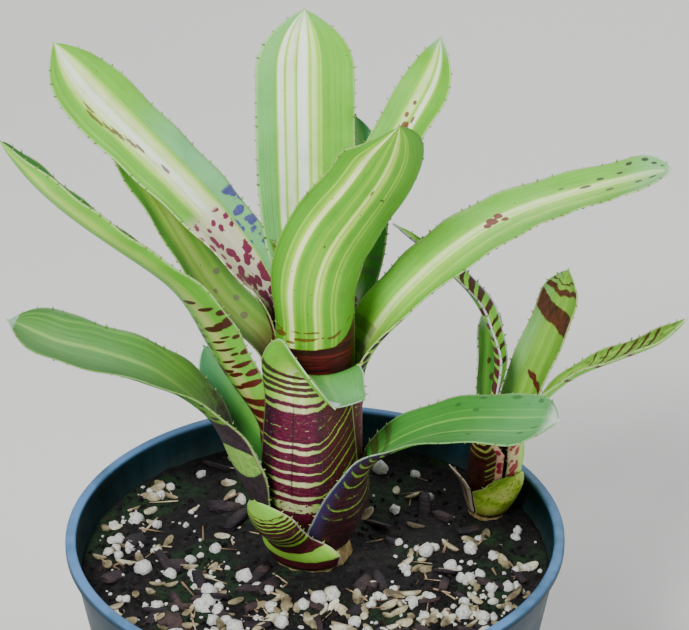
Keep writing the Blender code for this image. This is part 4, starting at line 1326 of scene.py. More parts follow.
far_bars = paint.torn(paint.grain(8, 2.0, 3, 0.6, 9) + paint.up(90, 40) * 0.2, 0.2, 2, 1, 0.58, 0.64)
far_bars = far_bars * paint.side(0.62, 0.5) * paint.up(112, 92)
bar_tone = paint.blend(paint.up(52, 68), shade(82, 18, 16), shade(70, 30, 24))
paint.coat(paint.up(52, 36) * 0.4, shade(150, 120, 60))
for layer in (far_bars, low_bars, bars):
    paint.coat(layer * 0.99, bar_tone)
paint.coat(paint.up(30, 22) * 0.8, shade(70, 20, 24))
paint.finish_leaf(0.8)
paint = LeafPaint("left_long_leaf", "upper")
paint.ground(COOL, LEFT_LONG, 0.25)
paint.coat(paint.up(60, 44) * 0.8, MAROON)
paint.finish_leaf()

# %% [markdown]
# The short front leaf is the showpiece. Its back is ringed all the way down: magenta bars with cream between
# them in the middle, dark purple with thin yellow-green lines at the sides, where the lines climb to the
# right. Its tip folds forward and shows a pale blue-green upper side.

# %% Front leaf
FRONT_LIGHT = [(13.2, 17.4), (19.5, 21.0), (25.0, 26.6), (29.3, 30.1), (33.4, 34.1), (37.2, 38.4),
               (40.2, 41.3), (52.4, 54.6), (56.1, 58.2), (59.7, 60.6), (62.0, 62.9), (64.4, 65.6),
               (67.2, 89.0)]
FRONT_FAINT = [(22.7, 23.0), (31.4, 31.7), (35.4, 35.8), (43.8, 44.2), (46.0, 46.4), (49.2, 49.7)]
FRONT_STRIPES = [(0, 0.2), (0.2, 0.3), (0.3, 0.55), (0.36, 0.75), (0.4, 0.4), (0.46, 0.75), (0.52, 0.45),
                 (0.6, 0.35), (0.75, 0.28), (1, 0.2)]
paint = LeafPaint("front_leaf", "under")
light = paint.ramp(paint.stripes(FRONT_STRIPES, 0.3), FRESH)
middle = paint.side(0.1, 0.24) * paint.side(0.66, 0.5)
creamy = middle * paint.up(60, 54)
light = paint.blend(creamy * 0.6, light, shade(206, 186, 160))
light = paint.blend((1 - middle) * paint.up(62, 54) * 0.7, light, shade(142, 172, 62))
climb = paint.ramp(paint.u, [(0, 0.0), (0.5, 0.0), (0.62, 0.05), (0.7, 0.2), (0.76, 0.37), (0.83, 0.57),
                             (0.92, 0.8), (1, 1.0)]) * 15
wobble = (paint.grain(7, 9, 2, 0.5, 13) - 0.5) * 1.6 + (paint.grain(1.6, 30, 2, 0.5, 14) - 0.5) * 0.5
ring = paint.mm - climb * paint.up(70, 58) + wobble
thin = (1 - middle) * 0.35
gaps = paint.bands(FRONT_LIGHT, ring, 0.3)
faint = paint.bands(FRONT_FAINT, ring, 0.35) * paint.step(paint.grain(2.4, 3, 2, 0.5, 15), 0.4, 0.6) * 0.6
gaps = paint.larger(gaps - thin * paint.up(60, 52), faint)
mottle = paint.step(paint.grain(1.6, 1.1, 3, 0.6, 18), 0.5, 0.66) * paint.up(19, 17)
gaps = gaps - mottle * 0.8
gaps = paint.torn(gaps, 0.8, 1.3, 0.6, 0.3, 0.66)
rings = paint.grain(3, 0.45, detail=4, rough=0.65, shift=10)
magenta = paint.ramp(rings, [(0.3, shade(42, 4, 22)), (0.5, shade(86, 8, 42)), (0.7, shade(126, 30, 70))])
sides = paint.ramp(rings, [(0.3, shade(28, 10, 24)), (0.5, shade(50, 18, 36)), (0.7, shade(80, 40, 54))])
brownish = paint.ramp(rings, [(0.3, shade(44, 14, 18)), (0.7, shade(84, 34, 36))])
sides = paint.blend(paint.side(0.55, 0.72), sides, brownish)
dark = paint.blend(middle, sides, magenta)
dark = paint.blend(paint.up(58, 60) * 0.6, dark, shade(62, 58, 34))
paint.colour = paint.blend(gaps, dark, light)
across = paint.u * MAP_LENGTH
faint_line = paint.bands([(98.6, 100.4)], across, 0.8) * 0.35
lines = paint.larger(paint.bands([(71.4, 75.0)], across, 0.8), faint_line)
lines = lines * paint.up(17, 24)
lines = lines * paint.up(62, 50)
paint.coat(lines * 0.72, shade(40, 10, 22))
paint.coat(paint.up(12.5, 8) * 0.85, shade(60, 12, 18))
bloom = paint.step(paint.grain(0.8, 0.8, 2, 0.6, 16), 0.6, 0.8) * paint.up(62, 50)
paint.coat(bloom * 0.3, shade(200, 180, 200))
paint.finish_leaf(0.5)

# %% [markdown]
# The lobe that folds forward shows the leaf's upper side. It is smooth and cool green, with a cream streak
# and a white bloom where the tip is bruised.

# %% Front leaf's upper side
paint = LeafPaint("front_leaf", "upper")
front_upper_stripes = [(0, 0.15), (0.15, 0.25), (0.28, 0.3), (0.34, 0.7), (0.4, 0.66), (0.46, 0.4),
                       (0.6, 0.3), (0.66, 0.42), (0.7, 0.3), (1, 0.25)]
paint.ground(COOL, front_upper_stripes, 0.2)
paint.coat(paint.near_tip(26, 6) * 0.3, shade(140, 204, 150))
streak = paint.bands([(76, 92)], paint.u * MAP_LENGTH, 6) * paint.up(56, 64)
paint.coat(streak * 0.6, shade(214, 226, 130))
whitish = paint.near_tip(6.5, 0.5) * paint.side(0.12, 0.3) * paint.side(0.9, 0.7)
paint.coat(paint.torn(whitish, 0.6, 1.5, 1.5) * 0.85, shade(214, 218, 232))
paint.finish_leaf(0.5, rim=shade(196, 222, 196), rim_share=0.7)

# %% [markdown]
# The long right leaf shows a pale stripe down its upper side, one red-brown spot, and dark spots near its
# tip. The strip of its underside that turns up at its foot is pale with round purple spots.

# %% Right long leaf
RIGHT_LONG = [(0, 0.15), (0.2, 0.22), (0.3, 0.28), (0.36, 0.42), (0.4, 0.28), (0.46, 0.34), (0.53, 0.4),
              (0.56, 0.72), (0.585, 0.55), (0.61, 0.72), (0.65, 0.8), (0.68, 0.55), (0.705, 0.3), (0.8, 0.24),
              (0.93, 0.22), (1, 0.2)]
RIGHT_LONG_SPOTS = [(0.63, 123, 2.0, 2.2), (0.67, 126.5, 1.5, 1.6), (0.6, 120.4, 1.3, 1.5),
                    (0.57, 127, 1.1, 1.4)]
RIGHT_TIP_SPOTS = [(0.66, 157, 0.9, 2.0), (0.74, 162, 0.9, 1.4), (0.77, 168, 0.8, 1.2), (0.9, 171, 1.0, 1.2),
                   (0.92, 176, 1.1, 1.3), (0.85, 179, 1.0, 1.2), (0.82, 182, 0.8, 1.0), (0.47, 179, 1.1, 1.6),
                   (0.46, 174, 1.0, 1.5), (0.63, 184, 0.9, 1.1), (0.46, 164, 0.9, 1.6), (0.75, 150, 0.4, 1.2)]
paint = LeafPaint("right_long_leaf", "upper")
paint.ground(FRESH, RIGHT_LONG, 0.28)
paint.coat(paint.near_tip(22, 3) * 0.5, shade(150, 204, 170))
paint.coat(paint.up(82, 58) * 0.55, shade(84, 112, 28))
olive = paint.torn(paint.bands([(56, 60), (63, 67)], paint.mm, 1.0), 0.9, 5, 3) * paint.side(0.5, 0.62)
paint.coat(olive * 0.45, shade(60, 66, 22))
spots = paint.torn(paint.spots(RIGHT_LONG_SPOTS), 1.2, 1.0, 1.0, -0.1, 0.25)
paint.coat(spots * 0.97, shade(108, 30, 26))
dark_spots = paint.torn(paint.spots(RIGHT_TIP_SPOTS), 1.2, 1.0, 1.2, 0.0, 0.5)
paint.coat(dark_spots * 0.88, shade(60, 44, 46))
tip = paint.near_tip(3.0, 0.8)
paint.coat(tip * 0.7, WHITISH)
paint.finish_leaf(0.6)
paint = LeafPaint("right_long_leaf", "under")
paint.colour = paint.ramp(paint.stripes([(0, 0.5), (0.12, 0.42), (0.3, 0.25), (0.5, 0.4), (0.7, 0.25),
                                         (1, 0.2)], 0.25), FRESH)
round_spots = [(0.03, 76, 1.8, 1.5), (0.05, 70.5, 2.2, 1.8), (0.05, 67, 2.0, 1.4), (0.06, 63.2, 1.8, 1.6),
               (0.12, 60, 2.2, 1.4), (0.2, 57, 2.4, 1.4), (0.1, 55, 1.6, 1.2)]
spots = paint.torn(paint.spots(round_spots), 0.8, 1.4, 1.2, -0.1, 0.25)
sheath = paint.torn(paint.grain(3.2, 2.0, 3, 0.6, 9) + paint.up(62, 40) * 0.3, 0.3, 2, 1, 0.56, 0.66)
sheath = sheath * paint.up(64, 52)
bars = paint.torn(paint.grain(9, 2.4, 3, 0.6, 17), 0.2, 2, 1, 0.6, 0.66)
bars = bars * paint.up(120, 96) * paint.side(0.22, 0.34)
for layer, tone in ((bars, shade(80, 28, 30)), (sheath, shade(104, 26, 52)), (spots, shade(58, 20, 52))):
    paint.coat(layer * 0.98, tone)
paint.finish_leaf(0.6)

# %% [markdown]
# The two lowest long leaves are a deeper, cooler green. The left one has a pale stripe with finer lines
# beside it, and a dark purple base with one round green patch.

# %% Lower left leaf
LOWER_LEFT = [(0, 0.12), (0.08, 0.16), (0.12, 0.44), (0.145, 0.22), (0.18, 0.24), (0.21, 0.4), (0.235, 0.2),
              (0.3, 0.34), (0.32, 0.2), (0.36, 0.36), (0.39, 0.28), (0.425, 0.56), (0.46, 0.64), (0.49, 0.32),
              (0.56, 0.24), (0.62, 0.32), (0.65, 0.2), (1, 0.12)]
paint = LeafPaint("lower_left_leaf", "upper")
aside = paint.up(116, 100) * paint.up(66, 82) * 0.07
paint.ground(COOL, LOWER_LEFT, 0.24, aside)
paint.coat(0.3, shade(86, 124, 48))
paint.coat(paint.up(92, 66) * 0.4, shade(104, 140, 44))
# brown mottling low on the upper side: painted shade inside the trough of the leaf near its foot
brownish = paint.torn(paint.grain(3, 2.5, 3, 0.6, 9) * paint.up(74, 52), 0.3, 2, 1, 0.4, 0.58)
paint.coat(brownish * paint.side(0.9, 0.6) * 0.7, shade(70, 44, 34))
# a dark brown coat lower still: painted shade deep in the trough
paint.coat(paint.up(58, 44) * paint.side(0.95, 0.8) * 0.7, shade(44, 24, 20))
tip = paint.torn(paint.near_tip(4.5, 1.0), 0.5, 2, 2)
paint.coat(tip * 0.6, shade(180, 200, 190))
paint.finish_leaf(0.8, rim=shade(150, 186, 110))
paint = LeafPaint("lower_left_leaf", "under")
paint.ground(COOL, LOWER_LEFT, 0.24, dim=0.8)
paint.coat(paint.up(80, 58) * 0.6, shade(132, 176, 60))
patch = paint.torn(paint.spots([(0.74, 40.5, 9.5, 6.6)]), 0.25, 3, 3, -0.1, 0.08)
bars = paint.spots([(0.9, 62.5, 2.6, 1.0), (0.84, 66, 2.2, 1.3), (0.97, 69.5, 1.6, 0.7)])
tube = paint.bands([(0, 59.0)], paint.mm + paint.u * 2 - 2, 1.0)
dark = paint.torn(paint.larger(tube, bars), 0.6, 3, 2, 0.1, 0.5)
purple = paint.ramp(paint.grain(2.4, 2.4, 3, 0.6, 10), [(0.3, shade(30, 14, 34)), (0.5, shade(50, 24, 48)),
                                                        (0.7, shade(70, 40, 66))])
paint.coat(dark * 0.96, purple)
green_patch = paint.ramp(paint.grain(1.6, 1.6, 3, 0.6, 14), [(0.3, shade(112, 160, 62)),
                                                             (0.7, shade(156, 204, 100))])
paint.coat(patch * paint.side(0.985, 0.96), green_patch)
near_line = paint.side(0.968, 0.982) * paint.up(26, 36) * paint.up(76, 60)
paint.coat(near_line * 0.8, shade(142, 150, 92))
paint.finish_leaf(0.5)

# %% [markdown]
# The right one is marked with fine pale lines and smudges, and its tip is bleached. Outside, its base is
# ringed with thin yellow-green lines that hang in a U, so the ring is measured from a bowed zero.

# %% Lower right leaf
LOWER_RIGHT = [(0, 0.2), (0.06, 0.14), (0.16, 0.18), (0.18, 0.34), (0.2, 0.2), (0.29, 0.22), (0.305, 0.36),
               (0.32, 0.22), (0.385, 0.24), (0.405, 0.6), (0.425, 0.26), (0.55, 0.24), (0.63, 0.26),
               (0.655, 0.58), (0.68, 0.28), (0.76, 0.24), (0.775, 0.36), (0.79, 0.24), (0.9, 0.2),
               (1, 0.24)]
paint = LeafPaint("lower_right_leaf", "upper")
paint.ground(COOL, LOWER_RIGHT, 0.2)
paint.coat(paint.near_tip(40, 6) * 0.4, shade(110, 176, 120))
shadowy = [(0.36, 99, 1.0, 1.2), (0.95, 92, 1.0, 2.2), (0.92, 101, 1.2, 1.4), (0.45, 103, 0.8, 1.8),
           (0.78, 79, 1.0, 1.4), (0.32, 82, 1.1, 1.2), (0.96, 80, 0.8, 1.6), (0.88, 72, 0.9, 1.2),
           (0.97, 106, 1.2, 1.0)]
paint.coat(paint.torn(paint.spots(shadowy), 1.2, 1.2, 1.4, 0.0, 0.6) * 0.55, shade(36, 66, 40))
inside = paint.torn(paint.bands([(0, 34), (37, 41), (44, 46.5)], paint.mm, 1.0), 0.8, 3, 2) * paint.up(52, 42)
paint.coat(inside * 0.75, shade(60, 54, 22))
tip = paint.torn(paint.near_tip(10, 0), 0.5, 2, 2, 0.1, 1.0)
tip = tip * paint.step(paint.edge, 0.2, 2.0) * 0.85
paint.coat(paint.larger(tip, paint.near_tip(1.8, 0.6)) * 0.85, WHITISH)
lilac = paint.up(62, 50) * paint.side(0.1, 0.03)
paint.coat(lilac * 0.6, shade(196, 196, 214))
paint.finish_leaf(0.6, rim=shade(150, 196, 120))
paint = LeafPaint("lower_right_leaf", "under")
off_middle = paint.u - 0.36
ring = paint.mm + (paint.grain(8, 12, 2, 0.5, 13) - 0.5) * 3 - off_middle * off_middle * 44
lines = paint.bands([(17.2, 17.9), (21.8, 22.6), (26.6, 27.3), (31.4, 32.2), (36, 37), (40.6, 41.6),
                     (44.8, 46), (48.8, 50.4), (53, 56), (59, 130)], ring, 0.3)
line_breaks = paint.step(paint.grain(6, 3, 2, 0.5, 15) + paint.up(30, 50) * 0.3, 0.34, 0.46)
lines = paint.torn(lines * line_breaks, 0.5, 1.2, 0.7)
lines = lines * paint.side(0.04, 0.1)
dark = paint.ramp(paint.grain(3, 0.9, 3, 0.6, 10), [(0.3, shade(28, 12, 20)), (0.5, shade(52, 20, 28)),
                                                    (0.7, shade(84, 36, 44))])
dark = paint.blend(paint.side(0.2, 0.03) * paint.up(62, 52) * 0.6, dark, shade(58, 50, 104))
green = paint.ramp(paint.stripes(LOWER_RIGHT, 0.2), FRESH)
green = paint.blend(paint.up(58, 50) * 0.4, green, shade(150, 176, 70))
paint.colour = paint.blend(paint.larger(lines, paint.up(58, 62)), dark, green)
paint.finish_leaf(0.6, rim=shade(150, 160, 170), rim_share=0.6)

# %% [markdown]
# The small old leaf at the foot is rolled into a cup, lime green with narrow brown bars, and a wide dark one
# low down.

# %% Base leaf
BASE_BARS = [(0, 5.5), (10.5, 17.8), (20.0, 21.9), (22.7, 24.7), (25.4, 27.4), (28.0, 29.9), (30.6, 32.2),
             (33.0, 34.4), (35.3, 36.5), (37.5, 38.3)]
paint = LeafPaint("base_leaf", "under")
paint.ground(FRESH, [(0, 0.3), (0.3, 0.4), (0.6, 0.35), (0.9, 0.3), (1, 0.5)], 0.25)
paint.coat(paint.up(36, 44) * 0.3, shade(90, 160, 60))
ring = paint.mm + (paint.grain(6, 8, 2, 0.5, 13) - 0.5) * 2.4
bars = paint.torn(paint.bands(BASE_BARS, ring, 0.35), 0.9, 1.8, 0.6)
bar_tone = paint.ramp(paint.grain(2.5, 0.8, 3, 0.6, 10), [(0.3, shade(44, 8, 20)), (0.7, shade(92, 26, 34))])
paint.coat(bars, bar_tone)
paint.finish_leaf(0.6, rim=shade(210, 204, 190), rim_share=0.6)
paint = LeafPaint("base_leaf", "upper")
paint.ground(DEEP, [(0, 0.2), (0.5, 0.4), (1, 0.2)], 0.25)
paint.finish_leaf()

# %% [markdown]
# The leaves behind show only in part. The narrow one at the upper right has two cream stripes and a maroon
# spot.

# %% Upper right leaf
UPPER_RIGHT = [(0, 0.18), (0.3, 0.22), (0.355, 0.4), (0.38, 0.85), (0.42, 0.95), (0.46, 0.9), (0.49, 0.35),
               (0.53, 0.5), (0.56, 0.75), (0.62, 0.72), (0.67, 0.62), (0.71, 0.3), (0.78, 0.22), (1, 0.18)]
REAR = [(0, 0.2), (0.2, 0.24), (0.3, 0.5), (0.38, 0.8), (0.5, 0.9), (0.62, 0.75), (0.7, 0.4), (0.8, 0.24),
        (1, 0.2)]
SHORT = [(0, 0.16), (0.3, 0.22), (0.45, 0.4), (0.55, 0.35), (0.7, 0.2), (1, 0.16)]
paint = LeafPaint("upper_right_leaf", "upper")
paint.ground(FRESH, UPPER_RIGHT, 0.28)
spots = paint.torn(paint.spots([(0.52, 125, 1.7, 2.8), (0.6, 129.5, 0.8, 1.0), (0.45, 129, 0.5, 1.4),
                                (0.58, 134, 0.7, 0.8)]), 1.1, 1.0, 1.2, -0.1, 0.25)
paint.coat(spots * 0.9, shade(112, 34, 32))
paint.coat(paint.near_tip(8, 1) * 0.4, shade(180, 220, 200))
paint.finish_leaf(0.6)

# %% [markdown]
# The rear leaf is bluish at its tip. Low down it turns pale, with violet spots, as all the inner leaves do.

# %% Rear leaf
paint = LeafPaint("rear_leaf", "upper")
paint.ground(COOL, REAR, 0.24)
paint.coat(paint.up(105, 130) * 0.55, shade(120, 190, 160))
foot = paint.up(84, 74)
paint.coat(foot * paint.side(0.12, 0.22) * 0.7, shade(220, 212, 216))
rear_spots = [(0.3, 75, 2.2, 1.8), (0.34, 69.5, 2.0, 1.6), (0.2, 73, 1.2, 1.2), (0.42, 77.5, 1.2, 1.2),
              (0.5, 72, 1.6, 1.6), (0.6, 76, 1.4, 1.2), (0.62, 69, 1.8, 1.4)]
spots = paint.torn(paint.spots(rear_spots), 0.9, 1.2, 1.2, -0.1, 0.25)
paint.coat(spots * 0.85, shade(126, 34, 112))
dusk = paint.torn(paint.bands([(84, 86.5), (89, 90.5)], paint.mm, 0.8), 0.9, 4, 2)
paint.coat(dusk * 0.35, shade(90, 60, 84))
paint.finish_leaf(0.6)

# %% [markdown]
# The last two are short: one leans out behind the lower left leaf, and one is the heart of the vase. The
# undersides of all four face away from the picture, so one recipe with small broken bars serves them.

# %% Short leaves and the backs
paint = LeafPaint("lower_rear_leaf", "upper")
paint.ground(COOL, SHORT, 0.2)
paint.coat(paint.near_tip(30, 4) * 0.5, shade(90, 156, 120))
paint.finish_leaf(0.5, rim=shade(186, 214, 196), rim_share=0.8)
paint = LeafPaint("heart_leaf", "upper")
paint.ground(DEEP, SHORT, 0.25)
paint.finish_leaf()
for leaf_name, stops in (("upper_right_leaf", UPPER_RIGHT), ("rear_leaf", REAR), ("lower_rear_leaf", SHORT),
                         ("heart_leaf", SHORT)):
    paint = LeafPaint(leaf_name, "under")
    paint.ground(DEEP, stops, 0.2, dim=0.7)
    bars = paint.torn(paint.grain(9, 2.2, 3, 0.6, 9) + paint.up(90, 30) * 0.2, 0.2, 2, 1, 0.62, 0.68)
    paint.coat(bars * 0.9, MAROON)
    paint.finish_leaf()

# %% [markdown]
# The offset is young and boldly marked. Its upright leaf is green with few stripes, and carries one wide
# maroon-brown band that slopes to the right, with thinner arcs above it.

# %% Offset's upright leaf
YOUNG = [(0, 0.22), (0.2, 0.28), (0.35, 0.42), (0.45, 0.34), (0.55, 0.46), (0.7, 0.3), (0.85, 0.26),
         (1, 0.2)]
DARK_BAND = shade(76, 30, 16)
LEAFY = [(0, shade(64, 112, 22)), (0.25, shade(98, 150, 42)), (0.5, shade(132, 182, 62)),
         (0.75, shade(172, 208, 106)), (1, shade(218, 234, 170))]
paint = LeafPaint("offset_upright_leaf", "upper")
paint.ground(LEAFY, YOUNG, 0.34)
paint.coat(paint.side(0.6, 0.9) * 0.4, shade(136, 192, 124))
slope = paint.ramp(paint.u, [(0, 0.0), (0.45, 0.2), (0.7, 0.35), (0.85, 0.6), (1, 1.0)]) * 5
wave = (paint.grain(4, 5, 2, 0.5, 13) - 0.5) * 3
big_band = paint.bands([(61.8, 69.0)], paint.mm - slope + wave, 0.5)
bow = paint.mm - abs(paint.u - 0.55) * 5 + wave
top_band = paint.bands([(73.4, 75.6)], bow, 0.4)
arc = paint.bands([(77.0, 77.8), (79.2, 79.7)], bow, 0.4)
low_band = paint.bands([(42.2, 44.6)], paint.mm + wave - (paint.u - 0.3) * 6, 0.5) * paint.side(0.66, 0.5)
bands = paint.torn(paint.larger(big_band, paint.larger(top_band, arc * 0.8)), 1.1, 1.1, 1.1, 0.3, 0.75)
band_tone = paint.ramp(paint.grain(1.2, 5, 3, 0.6, 10), [(0.3, shade(44, 16, 12)), (0.7, shade(92, 42, 26))])
paint.coat(bands * 0.985, band_tone)
paint.coat(paint.torn(low_band, 1.2, 1.4, 1.2) * 0.98, shade(84, 16, 22))
paint.coat(paint.up(34, 28) * 0.9, shade(110, 24, 30))
paint.finish_leaf(0.5)
paint = LeafPaint("offset_upright_leaf", "under")
paint.ground(DEEP, YOUNG, 0.3)
wave = (paint.grain(4, 5, 2, 0.5, 13) - 0.5) * 3
bands = paint.torn(paint.bands([(24, 30), (34, 38), (42, 45), (50, 51.5), (62.5, 69.5), (74.6, 77)],
                               paint.mm + wave, 0.5), 0.7, 1.8, 1.2)
paint.coat(bands * 0.9, DARK_BAND)
paint.finish_leaf()

# %% [markdown]
# Its left leaf arches over to the left and shows both sides, each with slanted bars, and a lilac margin
# that runs between them.

# %% Offset's left leaf
paint = LeafPaint("offset_left_leaf", "upper")
paint.ground(FRESH, YOUNG, 0.3)
slanted = paint.mm + (paint.u - 0.4) * 5 + (paint.grain(3, 4, 2, 0.5, 13) - 0.5) * 1.6
bands = paint.bands([(64.8, 67.2), (69.6, 72.6), (74.4, 77.6), (80, 82.4), (85, 87)], slanted, 0.4)
short_bars = paint.bands([(44.5, 46.5), (50.0, 51.6), (54.8, 57.0), (60.0, 61.4)], slanted, 0.4)
short_bars = short_bars * paint.side(0.46, 0.34)
bands = paint.torn(paint.larger(bands, short_bars), 0.6, 1.4, 0.9)
paint.coat(bands * 0.98, shade(70, 22, 14))
paint.coat(paint.up(40, 30) * 0.9, shade(120, 26, 40))
near_margin = paint.side(0.9, 0.96)
paint.coat(near_margin * 0.8, shade(214, 208, 232))
paint.finish_leaf(0.5, rim=shade(206, 200, 226), rim_share=0.8)
paint = LeafPaint("offset_left_leaf", "under")
paint.ground(FRESH, YOUNG, 0.3)
ring = paint.mm + (paint.grain(4, 5, 2, 0.5, 13) - 0.5) * 1.6
bands = paint.bands([(0, 30), (31, 37), (38, 42.6), (44, 47.6), (49, 51.8), (53.6, 56), (58.2, 60), (63, 65),
                     (68, 71)], ring, 0.3)
bands = paint.torn(bands, 0.5, 1.4, 0.9)
paint.coat(bands * 0.99, shade(84, 20, 26))
paint.coat(paint.side(0.93, 0.985) * 0.85, shade(214, 208, 232))
paint.finish_leaf(0.4, rim=shade(206, 200, 226), rim_share=0.8)

# %% [markdown]
# Its right leaf is flecked along its length and barred near the tip. The outside of its foot is cream and
# pink with crimson blotches, which a cell pattern gives: each blotch is the middle of a cell.

# %% Offset's right leaf
paint = LeafPaint("offset_right_leaf", "upper")
paint.colour = paint.ramp(paint.stripes([(0, 0.2), (0.4, 0.3), (0.6, 0.34), (0.78, 0.5), (0.86, 0.3),
                                         (1, 0.22)], 0.35), LEAFY)
flecks = paint.torn(paint.grain(1.1, 3.2, 3, 0.6, 9) * paint.up(44, 60), 0.3, 1, 2, 0.5, 0.64)
paint.coat(flecks * 0.8, shade(60, 62, 22))
slanted = paint.mm - paint.u * 9 + (paint.grain(3, 4, 2, 0.5, 13) - 0.5) * 2
bands = paint.torn(paint.bands([(60.5, 61.6), (66, 67.2), (71, 72.4), (75.6, 77.4), (80, 81.4), (84.5, 86.2)],
                               slanted, 0.35), 0.9, 1.4, 1.4)
paint.coat(bands * 0.92, shade(64, 32, 16))
patch = paint.torn(paint.bands([(27, 36)], paint.mm + paint.u * 6, 0.6), 0.7, 2, 1.4)
paint.coat(patch * 0.98, shade(118, 24, 34))
paint.coat(paint.near_tip(2.5, 0.6) * 0.8, WHITISH)
paint.finish_leaf(0.5)
paint = LeafPaint("offset_right_leaf", "under")
paint.ground(FRESH, YOUNG, 0.3)
pink = paint.side(0.5, 0.38) * paint.up(34, 28)
paint.coat(pink * 0.8, shade(208, 176, 140))
crimson = paint.torn(paint.blotches(3.4, 3.0, 0.5, shift=24), 0.4, 1.0, 1.0, 0.0, 0.06) * pink
crimson = crimson * paint.up(13, 16)
brown_spots = paint.torn(paint.blotches(2.6, 2.2, 0.24, shift=27), 0.2, 1.0, 1.0, 0.0, 0.05)
brown_spots = brown_spots * paint.up(24, 18)
bands = paint.torn(paint.bands([(37, 38.5), (47, 48.5), (60, 61.5), (72, 74), (84, 86)], paint.mm, 0.4), 0.8,
                   1.6, 1)
paint.coat(bands * 0.97, shade(84, 22, 22))
paint.coat(brown_spots * 0.85, shade(92, 40, 26))
paint.coat(crimson * 0.95, shade(146, 14, 46))
paint.finish_leaf(0.5)

# %% [markdown]
# Its rear leaf is short and narrow, with a whitish tip and a few spots.

# %% Offset's rear leaf
paint = LeafPaint("offset_rear_leaf", "upper")
paint.ground(COOL, [(0, 0.2), (0.3, 0.25), (0.5, 0.5), (0.7, 0.3), (1, 0.6)], 0.3)
spots = paint.torn(paint.spots([(0.2, 58, 0.9, 1.4), (0.4, 50, 0.9, 1.2), (0.25, 44, 1.4, 1.4)]), 0.9, 1.2,
                   1.2, -0.1, 0.25)
paint.coat(spots * 0.85, shade(70, 34, 34))
paint.coat(paint.near_tip(11, 2) * 0.75, shade(206, 228, 210))
paint.coat(paint.up(36, 28) * 0.8, shade(120, 26, 40))
paint.finish_leaf(0.5, rim=shade(214, 228, 210), rim_share=0.8)
paint = LeafPaint("offset_rear_leaf", "under")
paint.ground(DEEP, YOUNG, 0.3)
bands = paint.torn(paint.bands([(0, 16), (19, 23), (27, 30), (38, 40), (50, 52)], paint.mm, 0.4), 0.8, 1.6, 1)
paint.coat(bands * 0.9, shade(84, 22, 22))
paint.finish_leaf()

# %% [markdown]
# The offset's foot is a dark maroon tube with thin yellow-green arcs, which crowd on its right side and end
# where the pink of the next leaf begins.

# %% Offset's front leaf
paint = LeafPaint("offset_front_leaf", "under")
ring = paint.mm - paint.side(0.6, 1.0) * 4 + (paint.grain(4, 5, 2, 0.5, 13) - 0.5) * 1.2
low_arcs = paint.bands([(12.0, 12.5), (14.0, 14.6), (16.0, 16.7), (18.1, 18.8)], ring, 0.25)
arcs = low_arcs * paint.side(0.6, 0.7)
arcs = paint.larger(arcs, paint.bands([(21.2, 21.9), (23.6, 24.6), (26.4, 28), (31, 60)], ring, 0.3))
arcs = paint.larger(arcs, paint.bands([(8.6, 8.9)], ring, 0.2) * 0.4)
tube = paint.ramp(paint.grain(3, 0.8, 3, 0.6, 10), [(0.3, shade(34, 8, 8)), (0.5, shade(68, 16, 12)),
                                                    (0.7, shade(104, 38, 26))])
lime = paint.ramp(paint.stripes(YOUNG, 0.3), [(0, shade(112, 150, 36)), (0.5, shade(196, 204, 96)),
                                              (1, shade(238, 232, 180))])
paint.colour = paint.blend(paint.torn(arcs, 0.5, 1.2, 0.6), tube, lime)
blush = paint.side(0.84, 0.87) * paint.up(11, 14)
crimson = paint.torn(paint.blotches(2.6, 2.4, 0.5, shift=24), 0.4, 1.0, 1.0, 0.0, 0.06)
paint.coat(blush, paint.blend(crimson, shade(202, 160, 130), shade(140, 14, 44)))
paint.finish_leaf(0.3, rim=shade(150, 120, 80), shine=0.28)
paint = LeafPaint("offset_front_leaf", "upper")
paint.ground(FRESH, YOUNG, 0.3)
paint.coat(paint.up(30, 22), MAROON)
paint.finish_leaf()

# %% [markdown]
# A lime scale cups the offset's foot. It is speckled with brown in patches, so a fine noise gives the
# specks and a broad one the patches.

# %% Offset's scale
for side in ("under", "upper"):
    paint = LeafPaint("offset_scale_leaf", side)
    tone = paint.grain(5, 5, 3, 0.5, 9)
    paint.colour = paint.ramp(tone, [(0.3, shade(116, 160, 30)), (0.5, shade(168, 200, 60)),
                                     (0.7, shade(206, 218, 110))])
    patches_of_specks = paint.step(paint.grain(5, 5, 2, 0.5, 14), 0.38, 0.56)
    speckles = paint.step(paint.grain(0.8, 0.8, 2, 0.5, 13), 0.56, 0.64) * patches_of_specks
    paint.coat(speckles * 0.75, shade(70, 44, 22))
    paint.coat(paint.up(7, 1) * 0.6, shade(112, 70, 36))
    paint.finish_leaf(0.6, rim=shade(220, 222, 150), rim_share=0.6)

# %% [markdown]
# The oldest scale has dried to brown paper with long fibres, pale along one edge.

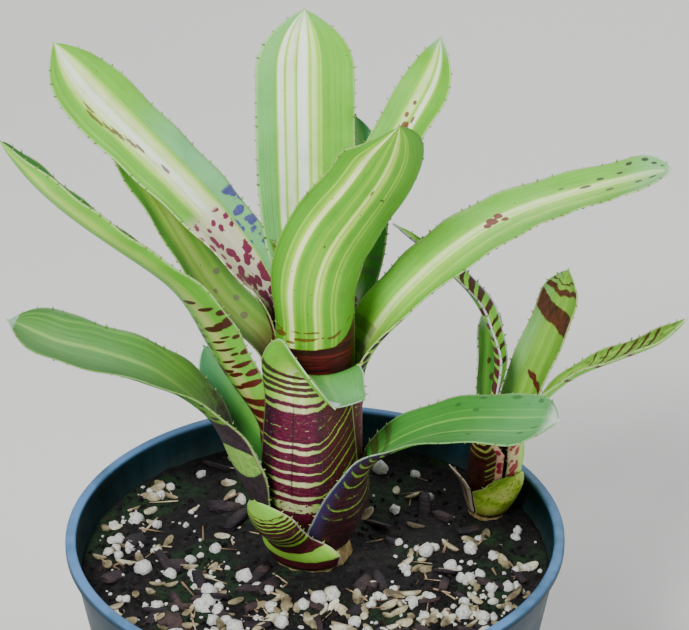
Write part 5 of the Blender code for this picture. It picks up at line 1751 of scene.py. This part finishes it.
# %% Dry scale
for side in ("under", "upper"):
    paint = LeafPaint("offset_dry_scale", side)
    fibres = paint.grain(0.7, 14, 4, 0.65, 9)
    paint.colour = paint.ramp(fibres, [(0.3, shade(86, 66, 54)), (0.5, shade(150, 124, 104)),
                                       (0.7, shade(206, 186, 164))])
    blotches = paint.step(paint.grain(3, 5, 3, 0.6, 13), 0.5, 0.7)
    paint.coat(blotches * 0.5, shade(104, 96, 84))
    paint.coat(paint.side(0.82, 0.92) * 0.7, shade(226, 208, 188))
    paint.bump(fibres, 0.0007)
    paint.keep(paint.finish(paint.colour, 0.7 + fibres * 0.2))
print("finishes", len(LOOKS))

# %% [markdown]
# The spines are hard, green to horn brown, and shinier than the leaf. Now that every finish is ready, each
# row of the table becomes a blade and its spines.

# %% Build every leaf
spine_paint = Paint("spine_horn", roughness=0.35, specular=0.5)
horn = spine_paint.noise(spine_paint.place(), 420, detail=2)
horn_tone = spine_paint.ramp(horn, [(0.35, shade(98, 138, 52)), (0.5, shade(138, 172, 82)),
                                    (0.65, shade(126, 112, 62))])
spine_material = spine_paint.finish(horn_tone)
SLOTS = {name: "green_leaf" for name in LEAF_SPEC}
for name in ("front_leaf", "base_leaf", "offset_front_leaf", "lower_right_leaf"):
    SLOTS[name] = "banded_leaf"
SLOTS["offset_dry_scale"] = "dry_scale"
for spec in LEAVES:
    name = spec["name"]
    build_leaf(spec, SLOTS[name], LOOKS[name, "under"], LOOKS[name, "upper"], spine_material)

# %% [markdown]
# The stem and the runner stay as the measured solid. Only short lengths of them show between the lowest
# leaves, and they get a finish of dry, ringed, fibrous tissue.

# %% Stem
stem_paint = Paint("stem_tissue", roughness=0.7, specular=0.3)
fibres = stem_paint.noise(stem_paint.place((700, 700, 60)), 1.0, detail=4, rough=0.6)
rings = stem_paint.noise(stem_paint.place((20, 20, 420)), 1.0, detail=2)
tissue = stem_paint.ramp(fibres * 0.6 + rings * 0.4, [(0.35, shade(74, 56, 34)), (0.5, shade(132, 112, 68)),
                                                      (0.65, shade(176, 160, 108))])
stem_paint.bump(fibres * 0.7 + rings * 0.3, 0.0006)
stem_material = stem_paint.finish(tissue)
stem = bpy.data.objects["stem_and_stolon"]
stem.data.materials.clear()
stem.data.materials.append(stem_material)
print(stem.name, "painted with", len(stem_material.node_tree.nodes), "nodes")

# %% [markdown]
# The spine model has served for all its copies, so it is removed, and the scene is closed. The finer
# pieces must stay inside the box of the solids.

# %% Finish
bpy.data.objects.remove(spine_model, do_unlink=True)
